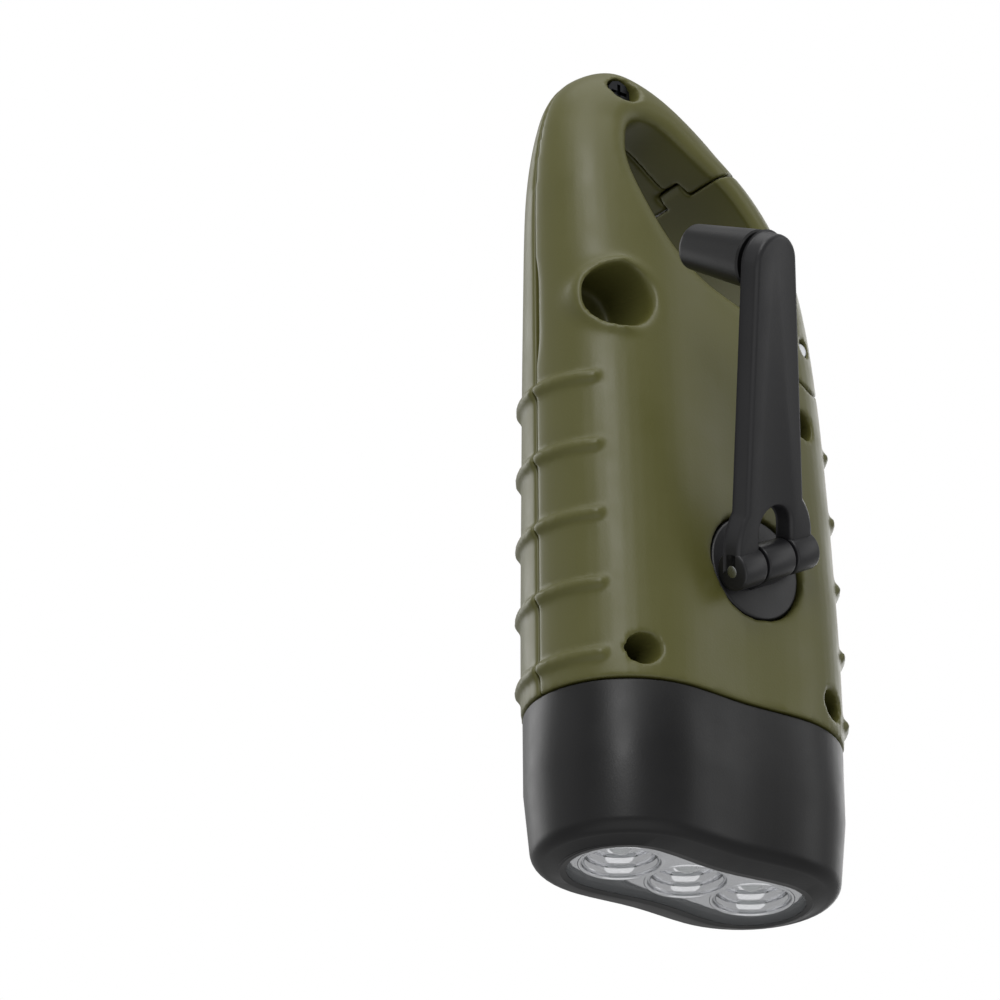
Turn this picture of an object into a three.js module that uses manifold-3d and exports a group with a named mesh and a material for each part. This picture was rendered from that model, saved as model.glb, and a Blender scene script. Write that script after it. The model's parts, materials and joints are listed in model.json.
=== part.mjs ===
// Hand crank flashlight with a solar panel on its front and a carabiner top.
// Millimetres, +Z up. The lamp end is down at z = 0, the front with the panel faces -Y,
// the back with the crank faces +Y, and the carabiner's gate is on the -X side.
import * as THREE from 'three';
import { mergeVertices } from 'three/addons/utils/BufferGeometryUtils.js';
import Module from 'manifold-3d';

const wasm = await Module();
wasm.setup();

// General clearances and counts
const gap = 0.3;
const pinFit = 0.15;
const overrun = 40;
const embed = 0.5;
const roundSides = 16;
const wideSides = 28;
const pinSides = 8;
const postSides = 10;
const arcSteps = 6;
const halfTurn = Math.PI;
const fullTurn = Math.PI * 2;
const degree = Math.PI / 180;

// Casing
const totalHeight = 129;
const bodyHalfWidth = 26;
const bodyHalfDepth = 15.4;
const endReach = 16.2;
const leastFlat = 0.2;
const wall = 2;
const seamY = -2.3;
const headHeight = 23.6;
const faceWaist = 0.5;
const sectionArcSteps = 8;
// Each row: height above the head, gate side, spine side and depth, as shares of the rise,
// of the half width twice, and of the half depth.
const casingShares = [
  [0, -1, 1, 1],
  [0.155, -0.993, 1, 0.98],
  [0.345, -0.97, 1, 0.925],
  [0.488, -0.94, 1, 0.86],
  [0.582, -0.908, 1, 0.802],
  [0.658, -0.87, 1, 0.752],
  [0.725, -0.8, 1, 0.708],
  [0.791, -0.677, 0.993, 0.667],
  [0.848, -0.508, 0.97, 0.62],
  [0.896, -0.288, 0.931, 0.566],
  [0.934, -0.085, 0.877, 0.5],
  [0.967, 0.115, 0.792, 0.404],
  [0.99, 0.323, 0.665, 0.27],
  [1, 0.47, 0.53, 0.09],
];
const cavityTopShare = 0.934;

// Grip ribs on both flanks
const ribCount = 5;
const lowestRib = 27.6;
const ribPitch = 11.2;
const ribWidth = 1.9;
const ribProud = 0.9;
const ribReach = 4.7;
const ribCrestShare = 0.4;

// Carabiner opening: its outline is written as shares of its width and height
const openingGateMargin = 13.6;
const openingSpineMargin = 11;
const openingTopDrop = 9.8;
const openingHeight = 29.8;
const openingWall = 2;
const openingEdgeRadius = 3.2;
const openingEdgeSteps = 2;
const openingPoints = 30;
const openingShares = [
  [0.03, 0.05],
  [0.14, 0],
  [0.36, 0.06],
  [0.59, 0.15],
  [0.79, 0.32],
  [0.94, 0.55],
  [1, 0.76],
  [0.95, 0.96],
  [0.78, 0.98],
  [0.55, 0.85],
  [0.31, 0.7],
  [0.12, 0.49],
  [0.015, 0.245],
  [0, 0.12],
];

// Carabiner gate
const gatePivotInset = 9.5;
const gatePivotDrop = 41;
const gateKnuckleRadius = 7.3;
const gateReach = 29;
const gateFirstAngle = 57;
const gateLastAngle = 178;
const gateArcSteps = 10;
const gatePinRadius = 1.3;
const gatePinInset = 0.3;
const gateTongueWidth = 3.8;
const gateTongueRadius = 5.2;
const gateNeckHalfWidth = 3.5;
const gateNeckSweepFirst = 226;
const gateNeckSweepLast = 342;
const gateSpringRoom = 4.4;
const gateCatchLength = 2.4;
const gateCatchWidth = 5;
const gateCatchAngle = 12;
// Two corners of the gate's outline that lie inside the opening, as shares of its box
const gateInnerShares = [
  [0.16, 0.2],
  [0.3, 0.45],
];

// Gate spring
const springWire = 0.6;
const springCoilRadius = 2.5;
const springTurns = 3;
const springPitch = 1.05;
const springStepsPerTurn = 8;
const springSides = 5;
const springCasingLeg = 6.4;
const springGateLeg = 4.4;

// Head
const headInset = 0.25;
const headEdgeRadius = 3.4;
const headEdgeSteps = 4;
const headTaper = 1.1;
const headTaperHeight = 12;
const headWall = 2;
const rimWaist = 1.6;
const spigotHeight = 4;
const spigotWall = 1.6;
const dishMargin = 5.6;
const dishHalfDepth = 9.3;

// Lens, gasket, reflector and lamps
const lampWaist = 1;
const apertureMargin = 6.2;
const apertureHalfDepth = 8.3;
const lensSeatHeight = 0.8;
const lensThickness = 0.8;
const lensLip = 0.9;
const gasketThickness = 0.8;
const reflectorHeight = 5.6;
const cupMargin = 1.5;
const cupOverlap = 0.2;
const cupThroatRadius = 2.7;
const cupRings = 4;
const ledRadius = 2.3;
const ledBarrel = 3.2;
const ledDomeSteps = 4;
const ledBoardThickness = 1.6;

// Solar panel
const bezelMargin = 9.8;
const bezelBottom = 27.6;
const bezelSideHeight = 43.4;
const bezelArch = 3.2;
const bezelCorner = 3.4;
const bezelStep = 1.8;
const bezelStepHeight = 1;
const bezelFaceY = -15.6;
const bezelSeatY = -12.4;
const pocketFloor = 1.6;
const cellSideMargin = 6;
const cellTopMargin = 2.6;
const cellBottomOffset = 7.4;
const cellCorner = 0.8;
const cellOverlap = 0.7;
const cellDepth = 1.5;

// Power button and its switch
const buttonZ = 34.2;
const buttonY = -1.3;
const buttonRadius = 2.6;
const buttonProud = 1.1;
const buttonFlange = 0.9;
const buttonFlangeThickness = 0.8;
const buttonTravel = 0.8;
const plungerRadius = 1;
const plungerReach = 2;
const switchLength = 4.4;
const switchWidth = 5.2;
const switchHeight = 4.4;

// Case screws, their holes and bosses
const lowScrewInset = 8.6;
const lowScrewZ = 28.4;
const middleScrewInset = 12;
const middleScrewZ = 73.4;
const topScrewInset = 11.8;
const topScrewDrop = 4.9;
const screwHeadRadius = 2.05;
const screwHeadHeight = 1.5;
const screwSlotWidth = 0.6;
const screwSlotDepth = 0.6;
const screwSlotShare = 0.7;
const screwShankRadius = 1.1;
const counterboreRadius = 2.4;
const screwSeatY = 4;
const screwTipY = -8.5;
const topScrewTipY = -4.6;
const rearBossRadius = 3.3;
const frontBossRadius = 2.7;

// Crank hub
const hubX = -2.6;
const hubZ = 46;
const storedAngle = 28;
const restFold = 32;
const hubFaceY = 14.3;
const hubRadius = 8;
const hubThickness = 2.1;
const hubRecessFloor = 1.6;
const hubShaftRadius = 2.8;
const hubSpindleRadius = 1.9;
const hingeKnuckleRadius = 2.9;
const hingeCentreWidth = 5.6;
const hingeHalfLength = 8;
const hingePinRadius = 1;

// Folding arm and knob
const armRadius = 44.5;
const armThickness = 2.8;
const armBevel = 0.5;
const armRootHalfWidth = 6.1;
const armTipRadius = 4.3;
const armNotchTop = 8.4;
const knobLength = 13.6;
const knobRootRadius = 4.1;
const knobTipRadius = 3.2;
const knobCollarRadius = 3.4;
const knobCollarHeight = 0.9;
const knobTipFillet = 0.9;
const knobScrewRadius = 1.1;
const knobScrewHead = 2;
const knobScrewHeadHeight = 1.1;
const knobScrewBite = 1.8;
const knobFilletSteps = 3;
const armShoulder = 3;

// Socket in the back that takes the knob
const socketOffset = 0.8;
const socketRadius = 5.1;
const socketWall = 0.9;
const socketTopY = 12.4;
const socketFloorY = 1.2;
const socketFlare = 0.5;

// Gear train: all axes run along Y
const gearModule = 0.6;
const driveTeeth = 40;
const pinionTeeth = 10;
const firstTeeth = 34;
const secondTeeth = 30;
const gearPlay = 0.06;
const toothAddendumShare = 0.75;
const toothDedendumShare = 1.05;
const toothRootShare = 0.62;
const toothTipShare = 0.2;
const gearThickness = 1.8;
const driveGearY = 8.2;
const gearLayerGap = 0.9;
const axleRadius = 0.9;
const axleBite = 1.8;
const axleBossRadius = 2;
const firstBearing = 111;
const secondBearing = 21;
const rotorBearing = -83;
const plateThickness = 1.4;
const plateMargin = 2.7;
const platePostRadius = 2.2;
const plateScrewRadius = 0.9;
const plateScrewHead = 1.9;
const plateScrewHeadHeight = 1.1;
const plateScrewLength = 6;
const driveScrewHead = 3;
const driveScrewLength = 5;
const nearPostRoom = 0.75;
const farPostRoom = 3.4;
const firstPostBearing = 213;
const drivePostBearing = -26.4;
const secondPostBearings = [-18.3, 115.3];

// Generator
const rotorRadius = 6.4;
const rotorLength = 4;
const rotorShaftRadius = 0.8;
const statorRadius = 11.4;
const statorWall = 1.1;
const coilInnerRadius = 7.1;
const coilOuterRadius = 9.9;
const coilLength = 3.6;

// Circuit board with its capacitor, and the battery in its cradle
const boardBackY = -8.9;
const boardThickness = 1.2;
const boardMargin = 10.5;
const boardBottom = 43;
const boardTop = 66;
const boardScrewZ = 46.5;
const boardScrewInset = 2.5;
const boardPostRadius = 2.3;
const boardScrewRadius = 0.8;
const boardScrewHead = 1.6;
const boardScrewHeadHeight = 1;
const boardScrewLength = 2.6;
const capacitorRadius = 3.4;
const capacitorLength = 6;
const capacitorInset = 5;
const capacitorDrop = 9;
const batteryRadius = 6;
const batteryLength = 17;
const batteryX = -3.4;
const batteryY = -1.8;
const batteryZ = 33.4;
const batteryGroove = 0.4;
const batteryCells = 3;
const cradleThickness = 1.6;
const cradleSpread = 5;

// Places worked out from the sizes above
const shellBase = headHeight + gap;
const rise = totalHeight - shellBase;
const ribTipX = bodyHalfWidth - ribReach;
const openingLeft = openingGateMargin - bodyHalfWidth;
const openingWidth = bodyHalfWidth * 2 - openingGateMargin - openingSpineMargin;
const openingBottom = totalHeight - openingTopDrop - openingHeight;
const gatePivotX = gatePivotInset - bodyHalfWidth;
const gatePivotZ = totalHeight - gatePivotDrop;
const topScrewZ = totalHeight - topScrewDrop;
const lamps = ['led_left', 'led_middle', 'led_right'];
const dishHalfLength = bodyHalfWidth - dishMargin;
const apertureHalfLength = bodyHalfWidth - apertureMargin;
const lensHalfLength = apertureHalfLength + lensLip;
const lensHalfDepth = apertureHalfDepth + lensLip;
const cupMouthRadius = (apertureHalfLength - cupMargin) / lamps.length;
const lampPitch = cupMouthRadius * 2 - cupOverlap;
const lensBottom = lensSeatHeight + gap;
const gasketBottom = lensBottom + lensThickness + gap;
const reflectorBottom = lensBottom + lensThickness + gap;
const reflectorFlangeZ = gasketBottom + gasketThickness + gap;
const reflectorTop = reflectorBottom + reflectorHeight;
const ledBoardBottom = reflectorTop + gap;
const ledBoardTop = ledBoardBottom + ledBoardThickness;
const bezelHalfWidth = bodyHalfWidth - bezelMargin;
const cellHalfWidth = bezelHalfWidth - cellSideMargin;
const cellHeight = bezelSideHeight - cellBottomOffset - cellTopMargin;
const pocketY = bezelSeatY + gap;
const pocketBackY = pocketY + pocketFloor;
const cellFaceY = bezelFaceY + cellDepth;
const flangeOuterX = -(bodyHalfWidth - wall) + gap;
const flangeInnerX = flangeOuterX + buttonFlangeThickness;
const switchLeft = flangeInnerX + buttonTravel + gap;
const hingeY = hubFaceY + hingeKnuckleRadius + gap;
const hubSeatY = hubFaceY - hubThickness;
const recessY = hubSeatY - gap;
const recessBackY = recessY - hubRecessFloor;
const socketX = hubX + (armRadius + socketOffset) * Math.sin(storedAngle * degree);
const socketZ = hubZ + (armRadius + socketOffset) * Math.cos(storedAngle * degree);
const driveTopY = driveGearY + gearThickness;
const axleTopY = driveTopY + gap * 2 + axleBite;
const firstGearY = driveGearY - gearLayerGap - gearThickness;
const secondGearY = firstGearY - gearLayerGap - gearThickness;
const plateBackY = secondGearY - gearLayerGap;
const plateFrontY = plateBackY - plateThickness;
const plateScrewTopY = plateFrontY - gap + plateScrewLength;
const statorBackY = plateFrontY - gap;
const rotorBackY = statorBackY - statorWall - gap;
const rotorFrontY = rotorBackY - rotorLength;
const statorFrontY = rotorFrontY - gap - statorWall;
const boardFrontY = boardBackY - boardThickness;
const boardRight = bodyHalfWidth - boardMargin;
const boardLeft = -boardRight;
const boardScrewX = boardRight - boardScrewInset;
const capacitorX = boardLeft + capacitorInset;
const capacitorZ = boardTop - capacitorDrop;
const lowScrewX = bodyHalfWidth - lowScrewInset;
const middleScrewX = middleScrewInset - bodyHalfWidth;
const topScrewX = bodyHalfWidth - topScrewInset;
const caseScrews = [
  { x: -lowScrewX, z: lowScrewZ, tip: screwTipY },
  { x: lowScrewX, z: lowScrewZ, tip: screwTipY },
  { x: middleScrewX, z: middleScrewZ, tip: screwTipY },
  { x: topScrewX, z: topScrewZ, tip: topScrewTipY },
];
const boardScrews = [-boardScrewX, boardScrewX];
const gearAway = (from, teeth, otherTeeth, bearing, top) => ({
  x: from.x + ((teeth + otherTeeth) / 2) * gearModule * Math.cos(bearing * degree),
  z: from.z + ((teeth + otherTeeth) / 2) * gearModule * Math.sin(bearing * degree),
  top,
});
const hubAxis = { x: hubX, z: hubZ };
const firstAxis = gearAway(hubAxis, driveTeeth, pinionTeeth, firstBearing, driveTopY + gap);
const secondTopY = firstGearY + gearThickness + gap;
const rotorTopY = secondGearY + gearThickness + gap;
const secondAxis = gearAway(firstAxis, firstTeeth, pinionTeeth, secondBearing, secondTopY);
const rotorAxis = gearAway(secondAxis, secondTeeth, pinionTeeth, rotorBearing, rotorTopY);
const gearAxles = [firstAxis, secondAxis];
// Posts that carry the gear plate, each set off from the rim of a gear
const postBeside = (axis, teeth, room, bearing) => {
  const away = gearModule * (teeth / 2 + toothAddendumShare) + platePostRadius + room;
  return { x: axis.x + away * Math.cos(bearing * degree), z: axis.z + away * Math.sin(bearing * degree) };
};
const platePosts = [
  postBeside(firstAxis, firstTeeth, nearPostRoom, firstPostBearing),
  postBeside(hubAxis, driveTeeth, farPostRoom, drivePostBearing),
  postBeside(secondAxis, secondTeeth, farPostRoom, secondPostBearings[0]),
  postBeside(secondAxis, secondTeeth, nearPostRoom, secondPostBearings[1]),
];
const backReach = hingeY
  + (armRadius + armTipRadius - armBevel) * Math.sin(restFold * degree)
  + (armThickness / 2) * Math.cos(restFold * degree);

// Plastics, metals and the rest
const paint = (color, roughness, metalness = 0, opacity = 1) => new THREE.MeshStandardMaterial({
  color,
  roughness,
  metalness,
  opacity,
  transparent: opacity < 1,
});
const oliveAbs = paint('#5c5e39', 0.5);
const blackAbs = paint('#2c2c2d', 0.5);
const glossBlack = paint('#222226', 0.3);
const cellBrown = paint('#93745a', 0.4);
const clearAcrylic = paint('#e8eef0', 0.1, 0, 0.35);
const chromePlate = paint('#d8d8da', 0.12, 1);
const lampWhite = paint('#e9ecec', 0.3);
const steel = paint('#a9abae', 0.35, 1);
const zincSteel = paint('#8b8d90', 0.4, 1);
const whiteNylon = paint('#e6e4dc', 0.6);
const magnetGrey = paint('#4a4b4e', 0.5, 0.6);
const copperWire = paint('#b06a3a', 0.4, 0.8);
const boardGreen = paint('#2f6a42', 0.6);
const sleeveBlue = paint('#2d5f9a', 0.5);
const rubberBlack = paint('#1d1d1f', 0.8);

// Closed solid from a three.js geometry whose seams coincide
function solid(geometry) {
  const plain = geometry.clone();
  plain.deleteAttribute('normal');
  plain.deleteAttribute('uv');
  const merged = mergeVertices(plain);
  const corners = merged.index.array;
  const kept = [];
  for (let i = 0; i < corners.length; i += 3) {
    const [a, b, c] = [corners[i], corners[i + 1], corners[i + 2]];
    if (a !== b && b !== c && c !== a) kept.push(a, b, c);
  }
  const vertProperties = new Float32Array(merged.attributes.position.array);
  return new wasm.Manifold(new wasm.Mesh({ numProp: 3, vertProperties, triVerts: new Uint32Array(kept) }));
}

function geometryOf(body) {
  const mesh = body.getMesh();
  const geometry = new THREE.BufferGeometry();
  const points = new Float32Array(mesh.vertProperties);
  geometry.setAttribute('position', new THREE.BufferAttribute(points, mesh.numProp));
  geometry.setIndex(new THREE.BufferAttribute(new Uint32Array(mesh.triVerts), 1));
  geometry.computeVertexNormals();
  return geometry;
}

function signedVolume(positions, faces) {
  const [a, b, c] = [new THREE.Vector3(), new THREE.Vector3(), new THREE.Vector3()];
  let sum = 0;
  for (let i = 0; i < faces.length; i += 3) {
    a.fromArray(positions, faces[i] * 3);
    b.fromArray(positions, faces[i + 1] * 3);
    c.fromArray(positions, faces[i + 2] * 3);
    sum += a.dot(b.cross(c));
  }
  return sum;
}

// Closed body through rings of as many points each, with a fan to the middle at both ends
function loft(rings) {
  const count = rings[0].length;
  const points = rings.flat();
  const faces = [];
  rings.slice(1).forEach((ring, r) => {
    for (let i = 0; i < count; i += 1) {
      const a = r * count + i;
      const b = r * count + ((i + 1) % count);
      faces.push(a, b, b + count, a, b + count, a + count);
    }
  });
  [[0, true], [rings.length - 1, false]].forEach(([r, first]) => {
    const middle = points.length;
    const sum = rings[r].reduce((total, p) => total.map((value, k) => value + p[k]), [0, 0, 0]);
    points.push(sum.map((value) => value / count));
    for (let i = 0; i < count; i += 1) {
      const a = r * count + i;
      const b = r * count + ((i + 1) % count);
      faces.push(...(first ? [b, a, middle] : [a, b, middle]));
    }
  });
  const positions = points.flat();
  if (signedVolume(positions, faces) < 0) faces.reverse();
  const geometry = new THREE.BufferGeometry();
  geometry.setAttribute('position', new THREE.Float32BufferAttribute(positions, 3));
  geometry.setIndex(faces);
  return solid(geometry);
}

// Round bar along Y from one depth to another
function rod(radius, fromY, toY, x, z, sides = roundSides) {
  const bar = new THREE.CylinderGeometry(radius, radius, toY - fromY, sides);
  return solid(bar.translate(x, (fromY + toY) / 2, z));
}

// Round bar along X
function crossRod(radius, fromX, toX, y, z, sides = roundSides) {
  const bar = new THREE.CylinderGeometry(radius, radius, toX - fromX, sides);
  return solid(bar.rotateZ(-halfTurn / 2).translate((fromX + toX) / 2, y, z));
}

// Bars of one size along Y at several places
function rods(places, radius, fromY, toY, sides) {
  return places.map(({ x, z }) => rod(radius, fromY, toY, x, z, sides));
}

function block(x, y, z) {
  const shape = new THREE.BoxGeometry(x[1] - x[0], y[1] - y[0], z[1] - z[0]);
  return solid(shape.translate((x[0] + x[1]) / 2, (y[0] + y[1]) / 2, (z[0] + z[1]) / 2));
}

// Shape drawn in X and Z, carried along Y
function slab(shape, fromY, toY, curveSegments = arcSteps) {
  const sheet = new THREE.ExtrudeGeometry(shape, { depth: toY - fromY, bevelEnabled: false, curveSegments });
  return solid(sheet.rotateX(halfTurn / 2).translate(0, toY, 0));
}

// Profile of radius and height turned about Y
function turned(profile, sides = roundSides) {
  const outline = profile.map(([radius, height]) => new THREE.Vector2(radius, height));
  return new THREE.LatheGeometry(outline, sides);
}

const polygon = (points) => new THREE.Shape(points.map(([x, z]) => new THREE.Vector2(x, z)));
const joinAll = (first, ...others) => others.reduce((sum, one) => sum.add(one), first);
const cutAll = (first, ...others) => others.reduce((rest, one) => rest.subtract(one), first);
const mix = (from, to, share) => from + (to - from) * share;
const clamp = THREE.MathUtils.clamp;

// Section with two rounded ends joined by flats that dip slightly at the waist
function roundedSection(left, right, depth, end, waist, z) {
  const middle = (left + right) / 2;
  const span = (right - left) / 2;
  const flat = Math.max(span - end, leastFlat);
  const reach = span - flat;
  const points = [];
  [1, -1].forEach((side) => {
    for (let i = 0; i <= sectionArcSteps; i += 1) {
      const angle = -halfTurn / 2 + (halfTurn * i) / sectionArcSteps;
      points.push([middle + side * (flat + reach * Math.cos(angle)), side * depth * Math.sin(angle), z]);
    }
    [1, 0, -1].forEach((step) => {
      const dip = waist * Math.cos((step * halfTurn) / 4) ** 2;
      points.push([middle + (side * step * flat) / 2, side * (depth - dip), z]);
    });
  });
  return points;
}

// Section of the lamp end: a stadium with a waist
const peanut = (halfLength, halfDepth, waist, z) => roundedSection(
  -halfLength,
  halfLength,
  halfDepth,
  halfDepth,
  waist,
  z,
);
const peanutBar = (halfLength, halfDepth, fromZ, toZ) => loft([
  peanut(halfLength, halfDepth, lampWaist, fromZ),
  peanut(halfLength, halfDepth, lampWaist, toZ),
]);

const riseShare = (z) => clamp((z - shellBase) / rise, 0, 1);

function casingLevel(share) {
  const next = Math.max(casingShares.findIndex((row) => row[0] >= share), 1);
  const low = casingShares[next - 1];
  const high = casingShares[next];
  const part = (share - low[0]) / (high[0] - low[0]);
  return high.map((value, k) => mix(low[k], value, part));
}

function casingRing(z, inset) {
  const share = riseShare(z);
  const [, left, right, depth] = casingLevel(share);
  return roundedSection(
    left * bodyHalfWidth + inset,
    right * bodyHalfWidth - inset,
    depth * bodyHalfDepth - inset,
    endReach - inset,
    faceWaist * (1 - share),
    z,
  );
}

// Half depth of the casing at a place on its face
function surfaceDepth(x, z) {
  const [, left, right, depth] = casingLevel(riseShare(z));
  const middle = ((left + right) / 2) * bodyHalfWidth;
  const span = ((right - left) / 2) * bodyHalfWidth;
  const flat = Math.max(span - endReach, leastFlat);
  const along = Math.max(Math.abs(x - middle) - flat, 0) / (span - flat);
  return depth * bodyHalfDepth * Math.sqrt(Math.max(1 - along ** 2, 0));
}

const casingOuter = () => loft(casingShares.map(([share]) => casingRing(shellBase + share * rise, 0)));

function casingCavity() {
  const rows = casingShares.filter(([share]) => share > 0 && share <= cavityTopShare);
  const rings = [casingRing(shellBase - overrun, wall), casingRing(shellBase, wall)];
  rows.forEach(([share]) => rings.push(casingRing(shellBase + share * rise, wall)));
  return loft(rings);
}

// Bellows whose crests are the ribs, kept only on the two flanks
function gripRibs() {
  const profile = [[-1, embed], [-ribCrestShare, -ribProud], [ribCrestShare, -ribProud], [1, embed]];
  const rings = [];
  for (let k = 0; k < ribCount; k += 1) {
    const centre = lowestRib + k * ribPitch;
    profile.forEach(([side, inset]) => rings.push(casingRing(centre + (side * ribWidth) / 2, inset)));
  }
  const flank = (from, to) => block([from, to], [-overrun, overrun], [0, totalHeight]);
  return loft(rings).intersect(joinAll(flank(-overrun, -ribTipX), flank(ribTipX, overrun)));
}

const openingPoint = ([across, up]) => [
  openingLeft + across * openingWidth,
  openingBottom + up * openingHeight,
];

// Opening outline, grown by an offset along its own normals
function openingOutline(offset) {
  const knots = openingShares.map((share) => new THREE.Vector3(...openingPoint(share), 0));
  const curve = new THREE.CatmullRomCurve3(knots, true, 'centripetal');
  return Array.from({ length: openingPoints }, (_, i) => {
    const at = curve.getPointAt(i / openingPoints);
    const along = curve.getTangentAt(i / openingPoints);
    return [at.x + along.y * offset, at.y - along.x * offset];
  });
}

// Cutter for the opening: its mouths flare to round the edges of both faces
function openingCutter() {
  const mouth = (side) => {
    const rings = Array.from({ length: openingEdgeSteps + 1 }, (_, k) => {
      const angle = (k / openingEdgeSteps) * (halfTurn / 2);
      const offset = openingEdgeRadius * (1 - Math.cos(angle));
      const rim = openingEdgeRadius * (1 - Math.sin(angle));
      return openingOutline(offset).map(([x, z]) => [x, side * (surfaceDepth(x, z) - rim), z]);
    });
    rings.push(rings[openingEdgeSteps].map(([x, , z]) => [x, side * overrun, z]));
    return rings;
  };
  return loft([...mouth(-1).reverse(), ...mouth(1)]);
}

// Gate region seen from the front: the knuckle and the limb up to the horn
function gateRegion(grow) {
  const radius = gateReach + grow;
  const limb = [[gatePivotX, gatePivotZ], ...gateInnerShares.map(openingPoint)];
  for (let i = 0; i <= gateArcSteps; i += 1) {
    const angle = mix(gateFirstAngle, gateLastAngle, i / gateArcSteps) * degree;
    limb.push([gatePivotX + radius * Math.cos(angle), gatePivotZ + radius * Math.sin(angle)]);
  }
  const knuckle = rod(gateKnuckleRadius + grow, -overrun, overrun, gatePivotX, gatePivotZ, wideSides);
  return slab(polygon(limb), -overrun, overrun).add(knuckle);
}

// Catch on the gate's nose: in the horn's slot it stops the gate from opening outwards.
// Its slot in the horn is open towards the opening by the sweep.
function gateCatch(grow, sweep) {
  const turn = grow / gateReach / degree;
  const arc = (radius, share) => {
    const angle = mix(gateFirstAngle - sweep - turn, gateFirstAngle + gateCatchAngle + turn, share) * degree;
    return [gatePivotX + radius * Math.cos(angle), gatePivotZ + radius * Math.sin(angle)];
  };
  const points = [arc(gateReach - embed, 1), arc(gateReach - embed, 0)];
  for (let i = 0; i <= arcSteps; i += 1) points.push(arc(gateReach + gateCatchLength + grow, i / arcSteps));
  return slab(polygon(points), -gateCatchWidth / 2 - grow, gateCatchWidth / 2 + grow);
}

// Tongue of the rear casing that stands in the gate's slot and carries its pin
function gateTongue() {
  const half = gateTongueWidth / 2;
  const disc = rod(gateTongueRadius, -half, half, gatePivotX, gatePivotZ, wideSides);
  const neck = block(
    [gatePivotX - gateNeckHalfWidth, gatePivotX + gateNeckHalfWidth],
    [-half, half],
    [gatePivotZ - gateKnuckleRadius - wall, gatePivotZ],
  );
  return disc.add(neck);
}

const gatePinHole = () => rod(gatePinRadius + pinFit, -overrun, overrun, gatePivotX, gatePivotZ, pinSides);

// Space that the casing leaves for the gate, apart from the tongue
const gateRoom = () => cutAll(
  joinAll(gateRegion(gap), gateCatch(gap, gateCatchAngle)),
  gateTongue(),
).add(gatePinHole());

// Slot in the gate's knuckle for the tongue and the spring, open below where the neck sweeps
function gateSlot() {
  const span = [-gateTongueWidth / 2 - gap, gateTongueWidth / 2 + gateSpringRoom];
  const sweep = [[gatePivotX, gatePivotZ]];
  for (let i = 0; i <= arcSteps; i += 1) {
    const angle = mix(gateNeckSweepFirst, gateNeckSweepLast, i / arcSteps) * degree;
    const radius = gateKnuckleRadius + wall;
    sweep.push([gatePivotX + radius * Math.cos(angle), gatePivotZ + radius * Math.sin(angle)]);
  }
  const disc = rod(gateTongueRadius + gap, ...span, gatePivotX, gatePivotZ, wideSides);
  return disc.add(slab(polygon(sweep), ...span));
}

function carabinerGate(blank) {
  return cutAll(blank.intersect(gateRegion(0).add(gateCatch(0, 0))), gateSlot(), gatePinHole());
}

function gatePin() {
  const half = surfaceDepth(gatePivotX, gatePivotZ) - gatePinInset;
  return rod(gatePinRadius, -half, half, gatePivotX, gatePivotZ, pinSides);
}

// Tube of flat-sided rings square to a path of points
function ringTube(points, radius, sides) {
  const depthwards = new THREE.Vector3(0, 1, 0);
  return loft(points.map((point, i) => {
    const before = points[Math.max(i - 1, 0)];
    const after = points[Math.min(i + 1, points.length - 1)];
    const along = after.clone().sub(before).normalize();
    const across = depthwards.clone().cross(along).normalize();
    const other = along.clone().cross(across);
    return Array.from({ length: sides }, (_, k) => {
      const angle = (k / sides) * fullTurn;
      const at = point.clone().addScaledVector(across, radius * Math.cos(angle));
      return at.addScaledVector(other, radius * Math.sin(angle)).toArray();
    });
  }));
}

// Wound torsion spring beside the tongue: one unbroken wire with two straight legs
function gateSpring() {
  const startY = gateTongueWidth / 2 + gap + springWire / 2;
  const at = (i) => {
    const angle = (i / springStepsPerTurn) * fullTurn;
    return new THREE.Vector3(
      gatePivotX + springCoilRadius * Math.cos(angle),
      startY + (i / springStepsPerTurn) * springPitch,
      gatePivotZ + springCoilRadius * Math.sin(angle),
    );
  };
  const coil = Array.from({ length: springTurns * springStepsPerTurn + 1 }, (_, i) => at(i));
  const leg = (point, length) => point.clone().add(new THREE.Vector3(0, 0, length));
  const leastGap = coil.slice(springStepsPerTurn).reduce((least, point, i) => {
    return Math.min(least, point.distanceTo(coil[i]) - springWire);
  }, overrun);
  console.log(`gate spring: least gap between its turns ${leastGap.toFixed(2)} mm`);
  const path = [leg(coil[0], -springCasingLeg), ...coil, leg(coil[coil.length - 1], springGateLeg)];
  return ringTube(path, springWire / 2, springSides);
}

// Lamp head
function headRing(z, inset) {
  return roundedSection(
    -bodyHalfWidth + inset,
    bodyHalfWidth - inset,
    bodyHalfDepth - inset,
    endReach - inset,
    mix(rimWaist, faceWaist, z / headHeight),
    z,
  );
}

function headOuter() {
  const rings = Array.from({ length: headEdgeSteps + 1 }, (_, k) => {
    const angle = (k / headEdgeSteps) * (halfTurn / 2);
    const z = headEdgeRadius * (1 - Math.cos(angle));
    const taper = headTaper * (1 - z / headTaperHeight);
    return headRing(z, headInset + taper + headEdgeRadius * (1 - Math.sin(angle)));
  });
  rings.push(headRing(headTaperHeight, headInset), headRing(headHeight, headInset));
  return loft(rings);
}

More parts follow.
